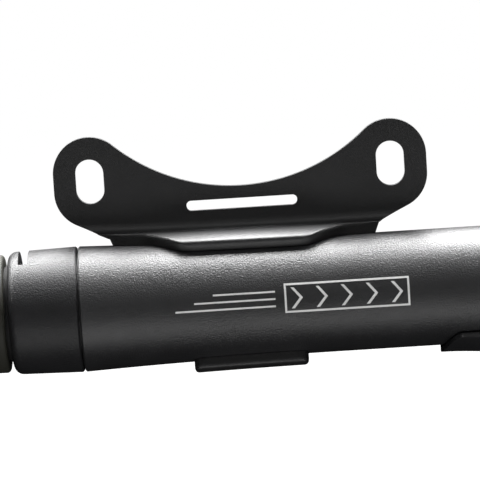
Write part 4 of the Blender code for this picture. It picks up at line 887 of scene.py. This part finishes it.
def stroke(name, x, degrees, long, tall, lean=0.0):
    """A bar of ink: its middle, its length along the barrel and its height round it, in metres."""
    step = math.degrees(tall / BARREL_RADIUS)

    def place(u, v):
        at = x + long * (u - 0.5) + lean * (v - 0.5)
        return around(at, flared(at) + LIFT, degrees + step * (v - 0.5))

    bar = rolled(name, max(2, round(long / GRID)), max(2, round(tall / GRID)), place)
    thicken(bar, FILM)
    return bar


MARK_LEFT, MARK_RIGHT, MARK_TURN, MARK_TALL = 0.0076, 0.0338, -85.0, 0.0062
CHEVRONS, CHEVRON_ARM, CHEVRON_LEAN = 5, 0.0022, 0.0018
LINES_RIGHT, LINES_APART, LINES_LONG = 0.0057, 7.0, (0.0210, 0.0170, 0.0130)
strokes = []
long = MARK_RIGHT - MARK_LEFT
edge_turn = math.degrees((MARK_TALL - LINE) / 2 / BARREL_RADIUS)
for side in (-1, 1):
    strokes.append(stroke("ink", (MARK_LEFT + MARK_RIGHT) / 2, MARK_TURN + side * edge_turn, long, LINE))
    end = MARK_LEFT + LINE / 2 if side < 0 else MARK_RIGHT - LINE / 2
    strokes.append(stroke("ink", end, MARK_TURN, LINE, MARK_TALL))
half_turn = math.degrees(CHEVRON_ARM / 2 / BARREL_RADIUS)
for step in range(CHEVRONS):
    x = MARK_LEFT + long * (step + 0.5) / CHEVRONS
    for side in (1, -1):
        turn = MARK_TURN + side * half_turn
        strokes.append(stroke("ink", x, turn, LINE * 1.6, CHEVRON_ARM, -side * CHEVRON_LEAN))
for step, length in enumerate(LINES_LONG):
    turn = MARK_TURN + LINES_APART * (step - 1)
    strokes.append(stroke("ink", LINES_RIGHT - length / 2, turn, length, LINE * 0.9))
put_down()
for bar in strokes:
    bar.select_set(True)
bpy.context.view_layer.objects.active = strokes[0]
bpy.ops.object.join()
mark = bpy.context.object
mark.name = "barrel_mark"
hand_over(mark, white_ink, "pump", "barrel")

# %% [markdown]
# ## What the model already has
#
# The pieces inside the pump have the right shape already, because little of them ever shows, so
# they keep the model's own surface and only get their finishes.

# %% Give the inner pieces their finishes
inner_finish = {
    natural_plastic: ("rod_guide", "piston_body", "gasket_plunger"),
    soft_black: ("rod_wiper", "bumper_ring", "barrel_o_ring", "check_valve", "plunger_o_ring",
                 "piston_cup"),
    turned_steel: ("slip_ring", "piston_washer", "piston_screw", "handle_washer", "handle_screw",
                   "lock_lug"),
    turned_brass: ("valve_seat",),
}
for material, names in inner_finish.items():
    for name in names:
        node = frame["nodes"][name]
        node.data.materials.clear()
        node.data.materials.append(material)
print("inner pieces:", sum(len(names) for names in inner_finish.values()))

# %% [markdown]
# ## The studio
#
# Black on white is the hardest thing to light: the floor has to be clean and bright, but the pump
# must not be washed out by it. So the floor is hidden from the pump's reflections, and the pump is
# lit by a long soft box above and a little behind it, which draws the highlight along the barrel.
# The paper glows by itself, a little less near the pump, so that a soft shadow still shows on it. It
# casts no shadow of its own, because the lowest box lights the pump from under it.

# %% Floor, backdrop, lights and camera
put_down()
PAPER_SIZE, PAPER_Z, NEAR_GLOW, FAR_GLOW = 12.0, -0.0740, 0.72, 1.0
bpy.ops.mesh.primitive_plane_add(size=PAPER_SIZE, location=(0.0, 0.0, PAPER_Z))
floor_piece = bpy.context.object
floor_piece.name = "studio_floor"
paper = bpy.data.materials.new("white_paper")
paper.use_nodes = True
paper_shader = paper.node_tree.nodes["Principled BSDF"]
paper_shader.inputs["Base Color"].default_value = (0.035, 0.035, 0.035, 1.0)
paper_shader.inputs["Roughness"].default_value = 0.9
paper_shader.inputs["Emission Color"].default_value = (1.0, 1.0, 1.0, 1.0)
near_pump = paper.node_tree.nodes.new("ShaderNodeTexGradient")
near_pump.gradient_type = "QUADRATIC_SPHERE"
from_middle = paper.node_tree.nodes.new("ShaderNodeTexCoord")
paper.node_tree.links.new(from_middle.outputs["Object"], near_pump.inputs["Vector"])
glow = paper.node_tree.nodes.new("ShaderNodeMapRange")
glow.inputs["To Min"].default_value = FAR_GLOW
glow.inputs["To Max"].default_value = NEAR_GLOW
paper.node_tree.links.new(near_pump.outputs["Fac"], glow.inputs["Value"])
paper.node_tree.links.new(glow.outputs["Result"], paper_shader.inputs["Emission Strength"])
floor_piece.data.materials.append(paper)
floor_piece.visible_glossy = False
floor_piece.visible_diffuse = False
floor_piece.visible_shadow = False

world = bpy.data.worlds.new("studio")
world.use_nodes = True
world.node_tree.nodes["Background"].inputs["Color"].default_value = (1.0, 1.0, 1.0, 1.0)
world.node_tree.nodes["Background"].inputs["Strength"].default_value = 1.0
world.cycles_visibility.diffuse = False
world.cycles_visibility.glossy = False
bpy.context.scene.world = world
bpy.context.scene.view_settings.view_transform = "Standard"


def soft_box(name, place, aim, width, height, power, spread=180):
    light = bpy.data.lights.new(name, "AREA")
    light.shape = "RECTANGLE"
    light.size = width
    light.size_y = height
    light.energy = power
    light.spread = math.radians(spread)
    lamp = bpy.data.objects.new(name, light)
    lamp.location = place
    lamp.rotation_euler = (Vector(aim) - Vector(place)).to_track_quat("-Z", "Y").to_euler()
    lamp.visible_camera = False
    bpy.context.scene.collection.objects.link(lamp)
    return lamp


soft_box("top_box", AXIS + Vector((0.0, 0.16, 0.38)), AXIS, 0.9, 0.26, 26.0)
soft_box("shelf_box", AXIS + Vector((0.0, -0.22, 0.40)), AXIS, 0.9, 0.10, 0.8)
soft_box("front_fill", AXIS + Vector((0.0, -0.60, 0.18)), AXIS, 0.9, 0.5, 0.7)
soft_box("low_fill", AXIS + Vector((0.0, -0.35, -0.33)), AXIS, 0.9, 0.12, 1.7)

TILT, ROLL, DISTANCE = math.radians(6.0), math.radians(3.61), 0.700
upright = Vector((0.0, math.sin(TILT), math.cos(TILT)))
side_way = Vector((1.0, 0.0, 0.0))
right = side_way * math.cos(ROLL) - upright * math.sin(ROLL)
top = side_way * math.sin(ROLL) + upright * math.cos(ROLL)
away = right.cross(top)
target = Vector((0.0, AXIS.y + PLATE_FRONT, AXIS.z + BOLT_Z)) - top * 0.01434
camera_data = bpy.data.cameras.new("camera")
camera_data.sensor_width = 36.0
camera_data.lens = 247.2
camera = bpy.data.objects.new("camera", camera_data)
facing = Matrix((right, top, away)).transposed().to_4x4()
camera.matrix_world = Matrix.Translation(target + away * DISTANCE) @ facing
bpy.context.scene.collection.objects.link(camera)
bpy.context.scene.camera = camera
